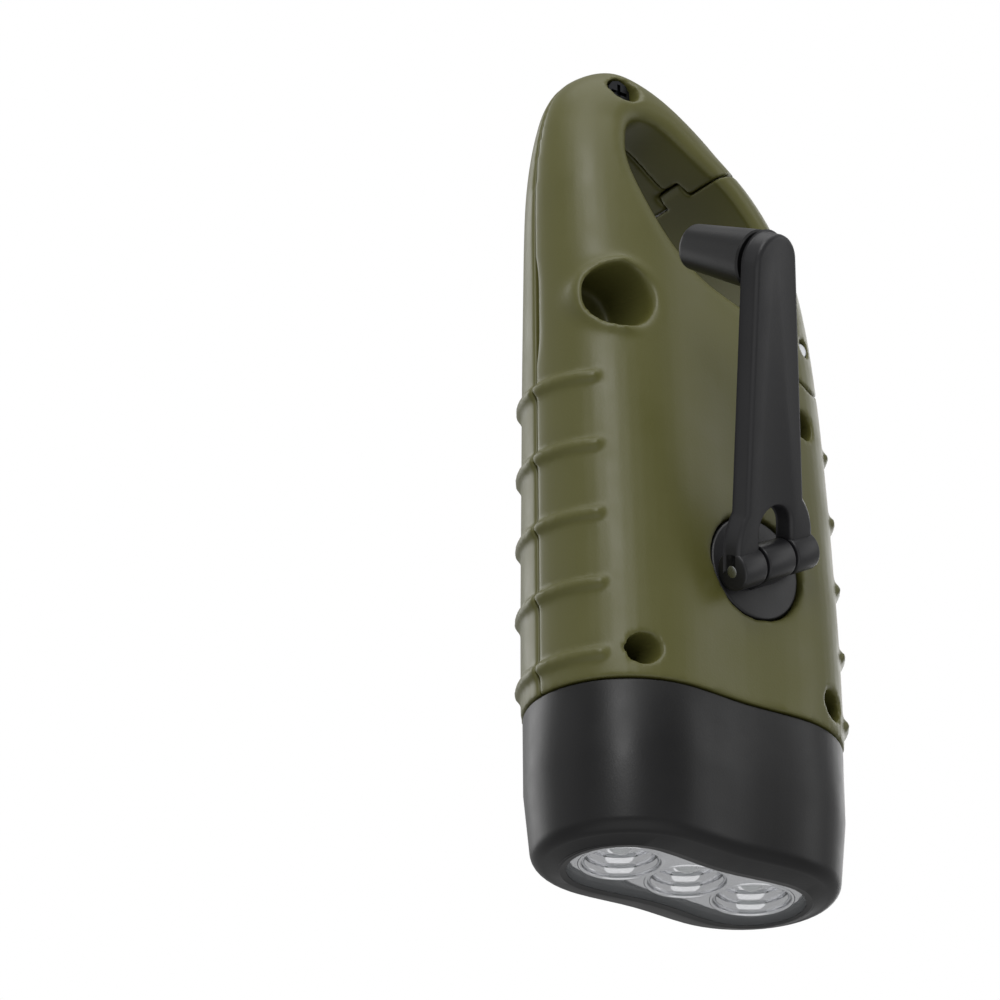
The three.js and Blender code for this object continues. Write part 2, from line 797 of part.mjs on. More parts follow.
function headShroud() {
  const pocket = (grow) => [lensHalfLength + gap + grow, lensHalfDepth + gap + grow];
  const spigotInset = wall + gap;
  const spigot = loft([
    casingRing(headHeight - embed, spigotInset),
    casingRing(headHeight + gap + spigotHeight, spigotInset),
  ]);
  const spigotBore = loft([
    casingRing(headHeight - headWall, spigotInset + spigotWall),
    casingRing(headHeight + overrun, spigotInset + spigotWall),
  ]);
  const hollow = loft([
    headRing(lensSeatHeight + headWall, headInset + headTaper + headWall),
    headRing(headTaperHeight, headInset + headWall),
    headRing(headHeight - headWall, headInset + headWall),
  ]);
  const well = peanutBar(...pocket(headWall), 0, ledBoardTop);
  const dish = loft([
    peanut(dishHalfLength, dishHalfDepth, rimWaist, 0),
    peanut(apertureHalfLength, apertureHalfDepth, lampWaist, lensSeatHeight),
  ]);
  const rimClear = loft([
    peanut(dishHalfLength, dishHalfDepth, rimWaist, -overrun),
    peanut(dishHalfLength, dishHalfDepth, rimWaist, 0),
  ]);
  const seat = peanutBar(...pocket(0), lensSeatHeight, overrun);
  const throat = peanutBar(apertureHalfLength, apertureHalfDepth, 0, overrun);
  const bossRoom = rods(caseScrews, rearBossRadius + gap, -overrun, overrun, postSides);
  const padRoom = slab(bezelShape(-wall - gap), -overrun, pocketBackY + gap + spigotWall);
  return cutAll(
    headOuter().add(spigot),
    hollow.subtract(well),
    spigotBore,
    dish,
    rimClear,
    seat,
    throat,
    padRoom,
    ...bossRoom,
  );
}

const lens = () => peanutBar(lensHalfLength, lensHalfDepth, lensBottom, lensBottom + lensThickness);

function lensGasket() {
  const ring = peanutBar(lensHalfLength, lensHalfDepth, gasketBottom, gasketBottom + gasketThickness);
  return ring.subtract(peanutBar(apertureHalfLength, apertureHalfDepth, 0, overrun));
}

const lampX = (index) => (index - (lamps.length - 1) / 2) * lampPitch;

// Turned piece stood along Z at a lamp's place
const lampTurned = (profile, index) => {
  const upright = turned(profile).rotateX(halfTurn / 2);
  return solid(upright.translate(lampX(index), 0, 0));
};

function reflectorCup(index) {
  const profile = [[0, reflectorBottom - overrun], [cupMouthRadius, reflectorBottom - overrun]];
  for (let k = 0; k <= cupRings; k += 1) {
    const up = k / cupRings;
    const radius = mix(cupThroatRadius, cupMouthRadius, Math.sqrt(1 - up));
    profile.push([radius, reflectorBottom + up * reflectorHeight]);
  }
  profile.push([cupThroatRadius, reflectorTop + overrun], [0, reflectorTop + overrun]);
  return lampTurned(profile, index);
}

function reflector() {
  const flange = peanutBar(lensHalfLength, lensHalfDepth, reflectorFlangeZ, reflectorTop);
  const nose = peanutBar(apertureHalfLength - gap, apertureHalfDepth - gap, reflectorBottom, reflectorTop);
  return cutAll(flange.add(nose), ...lamps.map((_, index) => reflectorCup(index)));
}

function led(index) {
  const top = ledBoardBottom - gap;
  const shoulder = top - ledBarrel;
  const profile = [[0, top], [ledRadius, top]];
  for (let k = 0; k < ledDomeSteps; k += 1) {
    const angle = (k / ledDomeSteps) * (halfTurn / 2);
    profile.push([ledRadius * Math.cos(angle), shoulder - ledRadius * Math.sin(angle)]);
  }
  profile.push([0, shoulder - ledRadius]);
  return lampTurned(profile.reverse(), index);
}

const ledBoard = () => peanutBar(lensHalfLength, lensHalfDepth, ledBoardBottom, ledBoardTop);

// Bezel outline: straight sides, rounded corners and an arched top
function bezelShape(inset) {
  const side = bezelHalfWidth - inset;
  const bottom = bezelBottom + inset;
  const shoulder = bezelBottom + bezelSideHeight - inset;
  const corner = bezelCorner - inset / 2;
  const spring = shoulder + bezelArch / 4;
  const shape = new THREE.Shape();
  shape.moveTo(-side + corner, bottom);
  shape.lineTo(side - corner, bottom);
  shape.quadraticCurveTo(side, bottom, side, bottom + corner);
  shape.lineTo(side, shoulder - corner);
  shape.quadraticCurveTo(side, shoulder, side - corner, spring);
  shape.quadraticCurveTo(0, shoulder + bezelArch * 2 - bezelArch / 4, -side + corner, spring);
  shape.quadraticCurveTo(-side, shoulder, -side, shoulder - corner);
  shape.lineTo(-side, bottom + corner);
  shape.quadraticCurveTo(-side, bottom, -side + corner, bottom);
  return shape;
}

function cellShape(inset) {
  const side = cellHalfWidth - inset;
  const bottom = bezelBottom + cellBottomOffset + inset;
  const top = bezelBottom + cellBottomOffset + cellHeight - inset;
  return polygon([
    [-side, bottom],
    [side - cellCorner, bottom],
    [side, bottom + cellCorner],
    [side, top],
    [-side + cellCorner, top],
    [-side, top - cellCorner],
  ]);
}

function solarBezel() {
  const base = slab(bezelShape(0), bezelFaceY + bezelStepHeight, bezelSeatY);
  const crest = slab(bezelShape(bezelStep), bezelFaceY, bezelSeatY);
  return cutAll(
    base.add(crest),
    slab(cellShape(cellOverlap), -overrun, overrun),
    slab(cellShape(-gap), cellFaceY - gap, overrun),
  );
}

const solarCell = () => slab(cellShape(0), cellFaceY, bezelSeatY);

// Round hole for the button through the flank, with room for its flange inside the wall.
// Both casing halves share it.
const buttonHole = () => joinAll(
  crossRod(buttonRadius + gap, -overrun, flangeOuterX, buttonY, buttonZ),
  crossRod(
    buttonRadius + buttonFlange + gap,
    flangeOuterX - gap,
    flangeInnerX + buttonTravel,
    buttonY,
    buttonZ,
  ),
);

function powerButton() {
  const cap = crossRod(buttonRadius, -bodyHalfWidth - buttonProud, flangeInnerX, buttonY, buttonZ);
  return cap.add(crossRod(buttonRadius + buttonFlange, flangeOuterX, flangeInnerX, buttonY, buttonZ));
}

const switchPlunger = () => crossRod(
  plungerRadius,
  flangeInnerX + gap,
  switchLeft + plungerReach,
  buttonY,
  buttonZ,
  pinSides,
);

function pushSwitch() {
  const body = block(
    [switchLeft, switchLeft + switchLength],
    [buttonY - switchWidth / 2, buttonY + switchWidth / 2],
    [buttonZ - switchHeight / 2, buttonZ + switchHeight / 2],
  );
  const bore = crossRod(
    plungerRadius + pinFit,
    -overrun,
    switchLeft + plungerReach + buttonTravel + gap,
    buttonY,
    buttonZ,
    pinSides,
  );
  return body.subtract(bore);
}

// Post of the front casing that carries the switch
const switchPost = () => block(
  [switchLeft, switchLeft + switchLength],
  [-overrun, buttonY - switchWidth / 2 - gap],
  [buttonZ - switchHeight / 2, buttonZ + switchHeight / 2],
);

// Two saddles of the front casing that carry the battery
function batteryCradle() {
  const saddle = (x) => block(
    [x - cradleThickness / 2, x + cradleThickness / 2],
    [-overrun, batteryY],
    [batteryZ - cradleSpread, batteryZ + cradleSpread],
  );
  return joinAll(saddle(batteryX - cradleSpread), saddle(batteryX + cradleSpread));
}

const batteryBar = (grow) => crossRod(
  batteryRadius + grow,
  batteryX - batteryLength / 2 - grow,
  batteryX + batteryLength / 2 + grow,
  batteryY,
  batteryZ,
);

// Three button cells in one sleeve, which shrinks into the joints between them
function batteryPack() {
  const cell = batteryLength / batteryCells;
  const neck = batteryRadius - batteryGroove;
  const profile = [[0, 0], [neck, 0]];
  for (let k = 0; k < batteryCells; k += 1) {
    const from = k * cell;
    profile.push([batteryRadius, from + batteryGroove], [batteryRadius, from + cell - batteryGroove]);
    profile.push([neck, from + cell]);
  }
  profile.push([0, batteryLength]);
  const sleeve = turned(profile).rotateZ(-halfTurn / 2);
  return solid(sleeve.translate(batteryX - batteryLength / 2, batteryY, batteryZ));
}

// Casing halves
const screwHole = ({ x, z, tip }) => joinAll(
  rod(counterboreRadius, screwSeatY - gap, overrun, x, z),
  rod(screwShankRadius + pinFit, tip - gap, overrun, x, z, pinSides),
);

function casingBlank() {
  return casingOuter().add(gripRibs()).subtract(openingCutter());
}

function frontShell(blank) {
  const edgeY = seamY - gap / 2;
  const half = blank.intersect(block([-overrun, overrun], [-overrun, edgeY], [0, totalHeight + embed]));
  const bosses = rods(caseScrews, frontBossRadius, -overrun, edgeY, postSides);
  const boardPosts = boardScrews.map((x) => rod(
    boardPostRadius,
    -overrun,
    boardFrontY - gap,
    x,
    boardScrewZ,
    postSides,
  ));
  const pad = slab(bezelShape(-wall), -overrun, pocketBackY);
  const cradle = batteryCradle().subtract(batteryBar(gap));
  const additions = joinAll(...bosses, ...boardPosts, pad, switchPost(), cradle);
  const boardHoles = boardScrews.map((x) => rod(
    boardScrewRadius + pinFit,
    boardBackY - boardScrewLength - gap,
    boardFrontY,
    x,
    boardScrewZ,
    pinSides,
  ));
  const walls = half.subtract(casingCavity().subtract(keptWalls()));
  return cutAll(
    walls.add(additions.intersect(half)),
    gateRoom(),
    slab(bezelShape(-gap), -overrun, pocketY),
    buttonHole(),
    ...caseScrews.map(screwHole),
    ...boardHoles,
  );
}

// Walls kept round the opening and round the gate's room
const keptWalls = () => joinAll(
  slab(polygon(openingOutline(openingWall)), -overrun, overrun),
  gateRegion(gap + wall),
  gateCatch(gap + wall, gateCatchAngle),
);

// Raised rim of the socket, a little wider where it grows out of the flank
function socketCollar() {
  const rim = socketRadius + socketWall;
  const cone = new THREE.CylinderGeometry(rim, rim + socketFlare, socketTopY - socketFloorY, wideSides);
  return solid(cone.translate(socketX, (socketTopY + socketFloorY) / 2, socketZ));
}

function rearShell(blank) {
  const edgeY = seamY + gap / 2;
  const half = blank.intersect(block([-overrun, overrun], [edgeY, overrun], [0, totalHeight + embed]));
  const bosses = rods(caseScrews, rearBossRadius, edgeY, overrun, postSides);
  const posts = rods(platePosts, platePostRadius, plateBackY + gap, overrun, postSides);
  const axleBosses = gearAxles.map(({ x, z, top }) => rod(
    axleBossRadius,
    top + gap,
    overrun,
    x,
    z,
    postSides,
  ));
  const hubPad = rod(hubRadius + gap + wall, recessBackY, overrun, hubX, hubZ, wideSides);
  const tubeRadius = socketRadius + socketWall;
  const socketTube = rod(tubeRadius, socketFloorY - wall, overrun, socketX, socketZ, wideSides);
  const collar = socketCollar();
  const additions = joinAll(...bosses, ...posts, ...axleBosses, hubPad, socketTube);
  const walls = half.subtract(casingCavity().subtract(keptWalls()));
  return cutAll(
    walls.add(additions.intersect(half)).add(collar),
    gateRoom(),
    rod(hubRadius + gap, recessY, overrun, hubX, hubZ, wideSides),
    rod(hubShaftRadius + pinFit, -overrun, overrun, hubX, hubZ),
    rod(socketRadius, socketFloorY, overrun, socketX, socketZ, wideSides),
    buttonHole(),
    ...caseScrews.map(screwHole),
    ...rods(platePosts, plateScrewRadius + pinFit, -overrun, plateScrewTopY + gap, pinSides),
    ...rods(gearAxles, axleRadius + pinFit, -overrun, axleTopY + gap, pinSides),
  );
}

// Cross-slotted screw along Y whose head is on the +Y or the -Y side
function screw(x, z, seat, tip, shankRadius, headRadius, headHeight) {
  const side = Math.sign(seat - tip);
  const crown = seat + side * headHeight;
  const between = (a, b, radius, sides) => rod(radius, Math.min(a, b), Math.max(a, b), x, z, sides);
  const slotFloor = crown - side * Math.min(screwSlotDepth, headHeight / 2);
  const bar = (halfX, halfZ) => block(
    [x - halfX, x + halfX],
    [Math.min(slotFloor, crown + side), Math.max(slotFloor, crown + side)],
    [z - halfZ, z + halfZ],
  );
  const arm = headRadius * screwSlotShare;
  return cutAll(
    joinAll(
      between(tip, seat + side * headHeight / 2, shankRadius, pinSides),
      between(seat, crown, headRadius, postSides),
    ),
    bar(arm, screwSlotWidth / 2),
    bar(screwSlotWidth / 2, arm),
  );
}

// Crank hub: disc, shaft, spindle and the knuckle of the folding hinge.
// It is drawn round its own axis, with the stored arm along +Z.
function crankHub() {
  const half = hingeCentreWidth / 2;
  const body = joinAll(
    rod(hubRadius, hubSeatY, hubFaceY, 0, 0, wideSides),
    rod(hubShaftRadius, driveTopY + gap, hubFaceY, 0, 0),
    rod(hubSpindleRadius, driveGearY, hubFaceY, 0, 0),
    crossRod(hingeKnuckleRadius, -half, half, hingeY, 0),
    block([-half, half], [hubSeatY, hingeY], [-hingeKnuckleRadius, hingeKnuckleRadius]),
  );
  return cutAll(
    body,
    crossRod(hingePinRadius + pinFit, -overrun, overrun, hingeY, 0, pinSides),
    rod(screwShankRadius + pinFit, -overrun, driveGearY + driveScrewLength, 0, 0, pinSides),
  );
}

const driveGearScrew = () => screw(
  0,
  0,
  driveGearY - gap,
  driveGearY - gap + driveScrewLength,
  screwShankRadius,
  driveScrewHead,
  plateScrewHeadHeight,
);

// Arm outline: forked root with round shoulders, straight taper and round tip
function armShape() {
  const notch = hingeCentreWidth / 2 + embed;
  const shape = new THREE.Shape();
  shape.moveTo(-hingeHalfLength, 0);
  shape.lineTo(-hingeHalfLength, armShoulder);
  shape.quadraticCurveTo(-hingeHalfLength, (armShoulder + armNotchTop) / 2, -armRootHalfWidth, armNotchTop);
  shape.lineTo(-armTipRadius, armRadius);
  shape.absarc(0, armRadius, armTipRadius, halfTurn, 0, true);
  shape.lineTo(armRootHalfWidth, armNotchTop);
  shape.quadraticCurveTo(hingeHalfLength, (armShoulder + armNotchTop) / 2, hingeHalfLength, armShoulder);
  shape.lineTo(hingeHalfLength, 0);
  shape.lineTo(notch, 0);
  shape.lineTo(notch, armNotchTop - notch);
  shape.absarc(0, armNotchTop - notch, notch, 0, halfTurn, false);
  shape.lineTo(-notch, 0);
  return shape;
}

// Folding arm, drawn from its hinge along +Z with its outer face towards +Y
function crankArm() {
  const sheet = new THREE.ExtrudeGeometry(armShape(), {
    depth: armThickness - armBevel * 2,
    bevelThickness: armBevel,
    bevelSize: armBevel,
    bevelOffset: -armBevel,
    bevelSegments: 1,
    curveSegments: arcSteps,
  });
  const plate = solid(sheet.rotateX(halfTurn / 2).translate(0, armThickness / 2 - armBevel, 0));
  const notch = hingeCentreWidth / 2 + embed;
  return cutAll(
    joinAll(
      plate,
      crossRod(hingeKnuckleRadius, -hingeHalfLength, -notch, 0, 0),
      crossRod(hingeKnuckleRadius, notch, hingeHalfLength, 0, 0),
    ),
    crossRod(hingePinRadius + pinFit, -overrun, overrun, 0, 0, pinSides),
    rod(knobScrewRadius + pinFit, -overrun, -armThickness / 2 + knobScrewBite + gap, 0, armRadius, pinSides),
  );
}

const hingePin = () => {
  const end = hingeHalfLength - gap;
  return crossRod(hingePinRadius, -end, end, 0, 0, pinSides);
};

const knobRootY = -armThickness / 2 - gap;
const knobTipY = knobRootY - knobLength;
const knobRecessY = knobTipY + knobScrewHeadHeight + gap * 2;

// Tapered knob on the body's side of the arm: collar, taper, round end and screw recess
function crankKnob() {
  const collarY = knobRootY - knobCollarHeight;
  const profile = [[0, knobTipY]];
  for (let k = 0; k <= knobFilletSteps; k += 1) {
    const angle = (k / knobFilletSteps) * (halfTurn / 2);
    profile.push([
      knobTipRadius - knobTipFillet * (1 - Math.sin(angle)),
      knobTipY + knobTipFillet * (1 - Math.cos(angle)),
    ]);
  }
  profile.push([knobRootRadius, collarY], [knobCollarRadius, collarY]);
  profile.push([knobCollarRadius, knobRootY], [0, knobRootY]);
  const body = solid(turned(profile)).translate(0, 0, armRadius);
  return cutAll(
    body,
    rod(knobScrewRadius + pinFit, -overrun, overrun, 0, armRadius, pinSides),
    rod(knobScrewHead + gap, -overrun, knobRecessY, 0, armRadius),
  );
}

const knobScrew = () => screw(
  0,
  armRadius,
  knobRecessY - gap,
  -armThickness / 2 + knobScrewBite,
  knobScrewRadius,
  knobScrewHead,
  knobScrewHeadHeight,
);

// Phase of a gear that meshes with another, seen from that other's centre
function meshedPhase(bearing, phase, teeth, otherTeeth) {
  const turn = ((bearing - phase) * teeth) / fullTurn;
  return bearing + halfTurn - ((0.5 - turn) * fullTurn) / otherTeeth;
}

function gearShape(teeth, phase) {
  const pitch = fullTurn / teeth;
  const root = gearModule * (teeth / 2 - toothDedendumShare);
  const tip = gearModule * (teeth / 2 + toothAddendumShare);
  const play = gearPlay / (gearModule * teeth);
  const points = [];
  for (let k = 0; k < teeth; k += 1) {
    [[root, -toothRootShare], [tip, -toothTipShare], [tip, toothTipShare], [root, toothRootShare]]
      .forEach(([radius, share]) => {
        const angle = phase + k * pitch + (share * pitch) / 2 - Math.sign(share) * play;
        points.push([radius * Math.cos(angle), radius * Math.sin(angle)]);
      });
  }
  return polygon(points);
}

const firstPhase = meshedPhase(firstBearing * degree, 0, driveTeeth, pinionTeeth);
const secondPhase = meshedPhase(secondBearing * degree, 0, firstTeeth, pinionTeeth);
const rotorPhase = meshedPhase(rotorBearing * degree, 0, secondTeeth, pinionTeeth);

const driveGear = () => slab(gearShape(driveTeeth, 0), driveGearY, driveTopY)
  .translate(hubX, 0, hubZ)
  .subtract(rod(hubSpindleRadius + pinFit, -overrun, overrun, hubX, hubZ));

// Wheel with a pinion of its own behind it, on a fixed axle
function compoundGear(axis, teeth, wheelY, pinionPhase) {
  const wheel = slab(gearShape(teeth, 0), wheelY, wheelY + gearThickness);
  const pinion = slab(gearShape(pinionTeeth, pinionPhase), wheelY + gearThickness / 2, axis.top);
  const bore = rod(axleRadius + pinFit, -overrun, overrun, 0, 0, pinSides);
  return wheel.add(pinion).subtract(bore).translate(axis.x, 0, axis.z);
}

const gearAxle = ({ x, z }) => rod(axleRadius, plateFrontY, axleTopY, x, z, pinSides);

// Plate that carries the gear train on the rear casing's posts
function gearPlate() {
  const feet = platePosts.map(({ x, z }) => rod(plateMargin, plateFrontY, plateBackY, x, z, postSides));
  const outline = platePosts.map(({ x, z }) => [x, z]);
  return cutAll(
    joinAll(slab(polygon(outline), plateFrontY, plateBackY), ...feet),
    ...rods(platePosts, plateScrewRadius + pinFit, -overrun, overrun, pinSides),
    ...rods(gearAxles, axleRadius + pinFit, -overrun, overrun, pinSides),
    rod(rotorShaftRadius + pinFit, -overrun, overrun, rotorAxis.x, rotorAxis.z, pinSides),
  );
}

const plateScrew = ({ x, z }) => screw(
  x,
  z,
  plateFrontY - gap,
  plateScrewTopY,
  plateScrewRadius,
  plateScrewHead,
  plateScrewHeadHeight,
);

function rotorPinion() {
  const { x, z, top } = rotorAxis;
  const pinion = slab(gearShape(pinionTeeth, rotorPhase), plateBackY + gap, top);
  const shaft = rod(rotorShaftRadius, statorFrontY, plateBackY + gearThickness, x, z, pinSides);
  return pinion.translate(x, 0, z).add(shaft);
}

const rotorMagnet = () => rod(rotorRadius, rotorFrontY, rotorBackY, rotorAxis.x, rotorAxis.z, wideSides)
  .subtract(rod(rotorShaftRadius + pinFit, -overrun, overrun, rotorAxis.x, rotorAxis.z, pinSides));

// Can round the coil and the rotor, with a bearing hole in both ends
const stator = () => cutAll(
  rod(statorRadius, statorFrontY, statorBackY, rotorAxis.x, rotorAxis.z, wideSides),
  rod(
    statorRadius - statorWall,
    statorFrontY + statorWall,
    statorBackY - statorWall,
    rotorAxis.x,
    rotorAxis.z,
    wideSides,
  ),
  rod(rotorShaftRadius + pinFit, -overrun, overrun, rotorAxis.x, rotorAxis.z, pinSides),
);

function coil() {
  const middle = (rotorFrontY + rotorBackY) / 2;
  const bar = (radius) => rod(
    radius,
    middle - coilLength / 2,
    middle + coilLength / 2,
    rotorAxis.x,
    rotorAxis.z,
    wideSides,
  );
  return bar(coilOuterRadius).subtract(bar(coilInnerRadius));
}

function circuitBoard() {
  const board = block([boardLeft, boardRight], [boardFrontY, boardBackY], [boardBottom, boardTop]);
  const holes = boardScrews.map((x) => rod(
    boardScrewRadius + pinFit,
    -overrun,
    overrun,
    x,
    boardScrewZ,
    pinSides,
  ));
  return cutAll(board, ...holes);
}

const boardScrew = (x) => screw(
  x,
  boardScrewZ,
  boardBackY + gap,
  boardBackY + gap - boardScrewLength,
  boardScrewRadius,
  boardScrewHead,
  boardScrewHeadHeight,
);

const capacitor = () => rod(
  capacitorRadius,
  boardBackY + gap,
  boardBackY + gap + capacitorLength,
  capacitorX,
  capacitorZ,
);

// The scene graph
function node(name, body, material) {
  const mesh = new THREE.Mesh(geometryOf(body), material);
  mesh.name = name;
  return mesh;
}

function casingGroup() {
  const blank = casingBlank();
  const part = new THREE.Group();
  part.add(
    node('front_shell', frontShell(blank), oliveAbs),
    node('rear_shell', rearShell(blank), oliveAbs),
    node('carabiner_gate', carabinerGate(blank), oliveAbs),
    node('gate_pin', gatePin(), steel),
    node('gate_spring', gateSpring(), steel),
    node('solar_bezel', solarBezel(), glossBlack),
    node('solar_cell', solarCell(), cellBrown),
    node('power_button', powerButton(), blackAbs),
    node('switch_plunger', switchPlunger(), whiteNylon),
    node('push_switch', pushSwitch(), glossBlack),
    node('battery_pack', batteryPack(), sleeveBlue),
  );
  caseScrews.forEach((place, i) => part.add(node(
    `case_screw_${i + 1}`,
    screw(place.x, place.z, screwSeatY, place.tip, screwShankRadius, screwHeadRadius, screwHeadHeight),
    zincSteel,
  )));
  return part;
}

function lampGroup() {
  const part = new THREE.Group();
  part.add(
    node('head_shroud', headShroud(), blackAbs),
    node('lens', lens(), clearAcrylic),
    node('lens_gasket', lensGasket(), rubberBlack),
    node('reflector', reflector(), chromePlate),
    node('led_board', ledBoard(), boardGreen),
  );
  lamps.forEach((name, index) => part.add(node(name, led(index), lampWhite)));
  return part;
}

// The crank as it rests: turned to its stored bearing, its arm raised from the socket
function crankGroup() {
  const crank = new THREE.Group();
  crank.position.set(hubX, 0, hubZ);
  crank.rotation.y = storedAngle * degree;
  crank.add(
    node('crank_hub', crankHub(), blackAbs),
    node('drive_gear_screw', driveGearScrew(), zincSteel),
  );
  const arm = new THREE.Group();
  arm.position.set(0, hingeY, 0);
  arm.rotation.x = -restFold * degree;
  arm.add(
    node('crank_arm', crankArm(), blackAbs),
    node('crank_hinge_pin', hingePin(), steel),
    node('crank_knob', crankKnob(), blackAbs),
    node('knob_screw', knobScrew(), zincSteel),
  );
  crank.add(arm);
  return crank;
}

function gearGroup() {
  const part = new THREE.Group();
  part.add(
    node('drive_gear', driveGear(), whiteNylon),
    node('first_gear', compoundGear(firstAxis, firstTeeth, firstGearY, firstPhase), whiteNylon),
    node('second_gear', compoundGear(secondAxis, secondTeeth, secondGearY, secondPhase), whiteNylon),
    node('first_axle', gearAxle(firstAxis), steel),
    node('second_axle', gearAxle(secondAxis), steel),
    node('gear_plate', gearPlate(), blackAbs),
    node('rotor_pinion', rotorPinion(), whiteNylon),
    node('rotor_magnet', rotorMagnet(), magnetGrey),
    node('stator', stator(), zincSteel),
    node('coil', coil(), copperWire),
  );
  platePosts.forEach((place, i) => part.add(node(`plate_screw_${i + 1}`, plateScrew(place), zincSteel)));
  return part;
}

function boardGroup() {
  const part = new THREE.Group();
  part.add(
    node('circuit_board', circuitBoard(), boardGreen),
    node('storage_capacitor', capacitor(), sleeveBlue),
  );
  boardScrews.forEach((x, i) => part.add(node(`board_screw_${i + 1}`, boardScrew(x), zincSteel)));
  return part;
}

const flashlight = new THREE.Group();
flashlight.add(casingGroup(), lampGroup(), crankGroup(), gearGroup(), boardGroup());
// The origin lies under the middle of the whole, raised crank included
flashlight.position.y = -(bezelFaceY + backReach) / 2;

export default flashlight;
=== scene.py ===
"""Hand crank flashlight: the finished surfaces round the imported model, in metres."""

import json
import logging
import math
from dataclasses import dataclass, field
from enum import Enum
from typing import Callable, Dict, Iterable, List, Optional, Sequence, Tuple

import bmesh
import bpy
from mathutils import Matrix, Quaternion, Vector


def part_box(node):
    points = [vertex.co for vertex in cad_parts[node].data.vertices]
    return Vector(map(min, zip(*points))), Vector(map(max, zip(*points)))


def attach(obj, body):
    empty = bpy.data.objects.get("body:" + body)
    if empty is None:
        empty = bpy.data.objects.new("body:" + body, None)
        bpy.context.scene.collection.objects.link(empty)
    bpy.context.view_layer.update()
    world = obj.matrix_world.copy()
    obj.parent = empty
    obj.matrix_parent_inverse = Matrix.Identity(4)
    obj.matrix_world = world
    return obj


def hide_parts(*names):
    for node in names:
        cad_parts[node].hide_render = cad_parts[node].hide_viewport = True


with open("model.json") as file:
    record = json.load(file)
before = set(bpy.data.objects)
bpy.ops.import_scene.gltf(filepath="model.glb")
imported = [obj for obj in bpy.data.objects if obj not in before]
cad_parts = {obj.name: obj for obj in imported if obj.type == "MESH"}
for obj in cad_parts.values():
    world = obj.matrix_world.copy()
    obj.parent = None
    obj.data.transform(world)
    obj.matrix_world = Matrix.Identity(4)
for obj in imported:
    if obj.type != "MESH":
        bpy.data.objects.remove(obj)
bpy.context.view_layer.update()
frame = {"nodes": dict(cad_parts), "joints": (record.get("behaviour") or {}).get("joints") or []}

logging.basicConfig(level=logging.INFO, format="%(message)s")
log = logging.getLogger("flashlight")

MM = 0.001
Point = Tuple[float, float, float]
Flat = Tuple[float, float]
# Past every face of the body, and above its top, in millimetres
FAR = 60.0
HIGH = 140.0
# Least flat between two rounded ends, and the steps of an end and of a flat
LEAST_FLAT = 0.2
END_STEPS = 28
FLAT_STEPS = 8

# The lens lies evenly about the body's own axis
LENS_LOW, LENS_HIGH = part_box("lens")
AXIS_Y = (LENS_LOW.y + LENS_HIGH.y) / 2
JOINTS = {joint["name"]: joint for joint in frame["joints"]}
# Lean of the stored crank's arm from upright, in degrees
STORED_ANGLE = 28.0


def place(x: float, y: float, z: float) -> Vector:
    """Point given in millimetres from the body's own axis, in the row frame.

    Args:
        x: millimetres towards the spine.
        y: millimetres towards the crank, from the body's axis.
        z: millimetres above the lamp rim.

    Returns:
        The point in metres.
    """
    return Vector((x * MM, y * MM + AXIS_Y, z * MM))


def joint_place(name: str) -> Vector:
    """Place of a joint in millimetres from the body's own axis."""
    x, y, z = JOINTS[name]["pos_m"]
    return Vector((x / MM, (y - AXIS_Y) / MM, z / MM))


def mix(start: float, end: float, share: float) -> float:
    """Value between two others."""
    return start + (end - start) * share


def pulled(start: float, pull: float, end: float, share: float) -> float:
    """Value on a curve between two others that a third pulls aside.

    Args:
        start: value at share 0.
        pull: value that the curve leans towards.
        end: value at share 1.
        share: how far along the curve.

    Returns:
        The value there.
    """
    rest = 1 - share
    return rest * rest * start + 2 * rest * share * pull + share * share * end


def curve(p: float, q: float, r: float, s: float, share: float) -> float:
    """Value between the middle two of four, on a smooth curve through them all.

    Args:
        p: value before the stretch.
        q: value at its start.
        r: value at its end.
        s: value after it.
        share: how far along the stretch.

    Returns:
        The value there.
    """
    bend = 2 * p - 5 * q + 4 * r - s + share * (3 * (q - r) + s - p)
    return q + 0.5 * share * (r - p + share * bend)


def rising(value: float, start: float, end: float) -> float:
    """Share from 0 to 1 as a value goes from a start to an end, which may be lower.

    Args:
        value: the value.
        start: where the share is 0.
        end: where it is 1.

    Returns:
        The share.
    """
    return min(max((value - start) / (end - start), 0), 1)


def steps(count: int) -> List[float]:
    """Shares from 0 to 1 in a number of even steps."""
    return [i / count for i in range(count + 1)]


def half_round(radius: float, count: int) -> List[Flat]:
    """Half circle over the origin, from its right end to its left.

    Args:
        radius: its radius.
        count: steps along it.

    Returns:
        Its points.
    """
    angles = [math.pi * share for share in steps(count)]
    return [(radius * math.cos(angle), radius * math.sin(angle)) for angle in angles]


class Cut(Enum):
    """What a boolean does with its second shape."""

    TAKE = "DIFFERENCE"
    KEEP = "INTERSECT"
    JOIN = "UNION"


def as_object(shape: bmesh.types.BMesh, name: str) -> bpy.types.Object:
    """Turns a bmesh into an object of the scene and frees it.

    Args:
        shape: the mesh, in metres.
        name: the object's name.

    Returns:
        The new object, at the origin.
    """
    bmesh.ops.recalc_face_normals(shape, faces=shape.faces)
    mesh = bpy.data.meshes.new(name)
    shape.to_mesh(mesh)
    shape.free()
    obj = bpy.data.objects.new(name, mesh)
    bpy.context.scene.collection.objects.link(obj)
    return obj


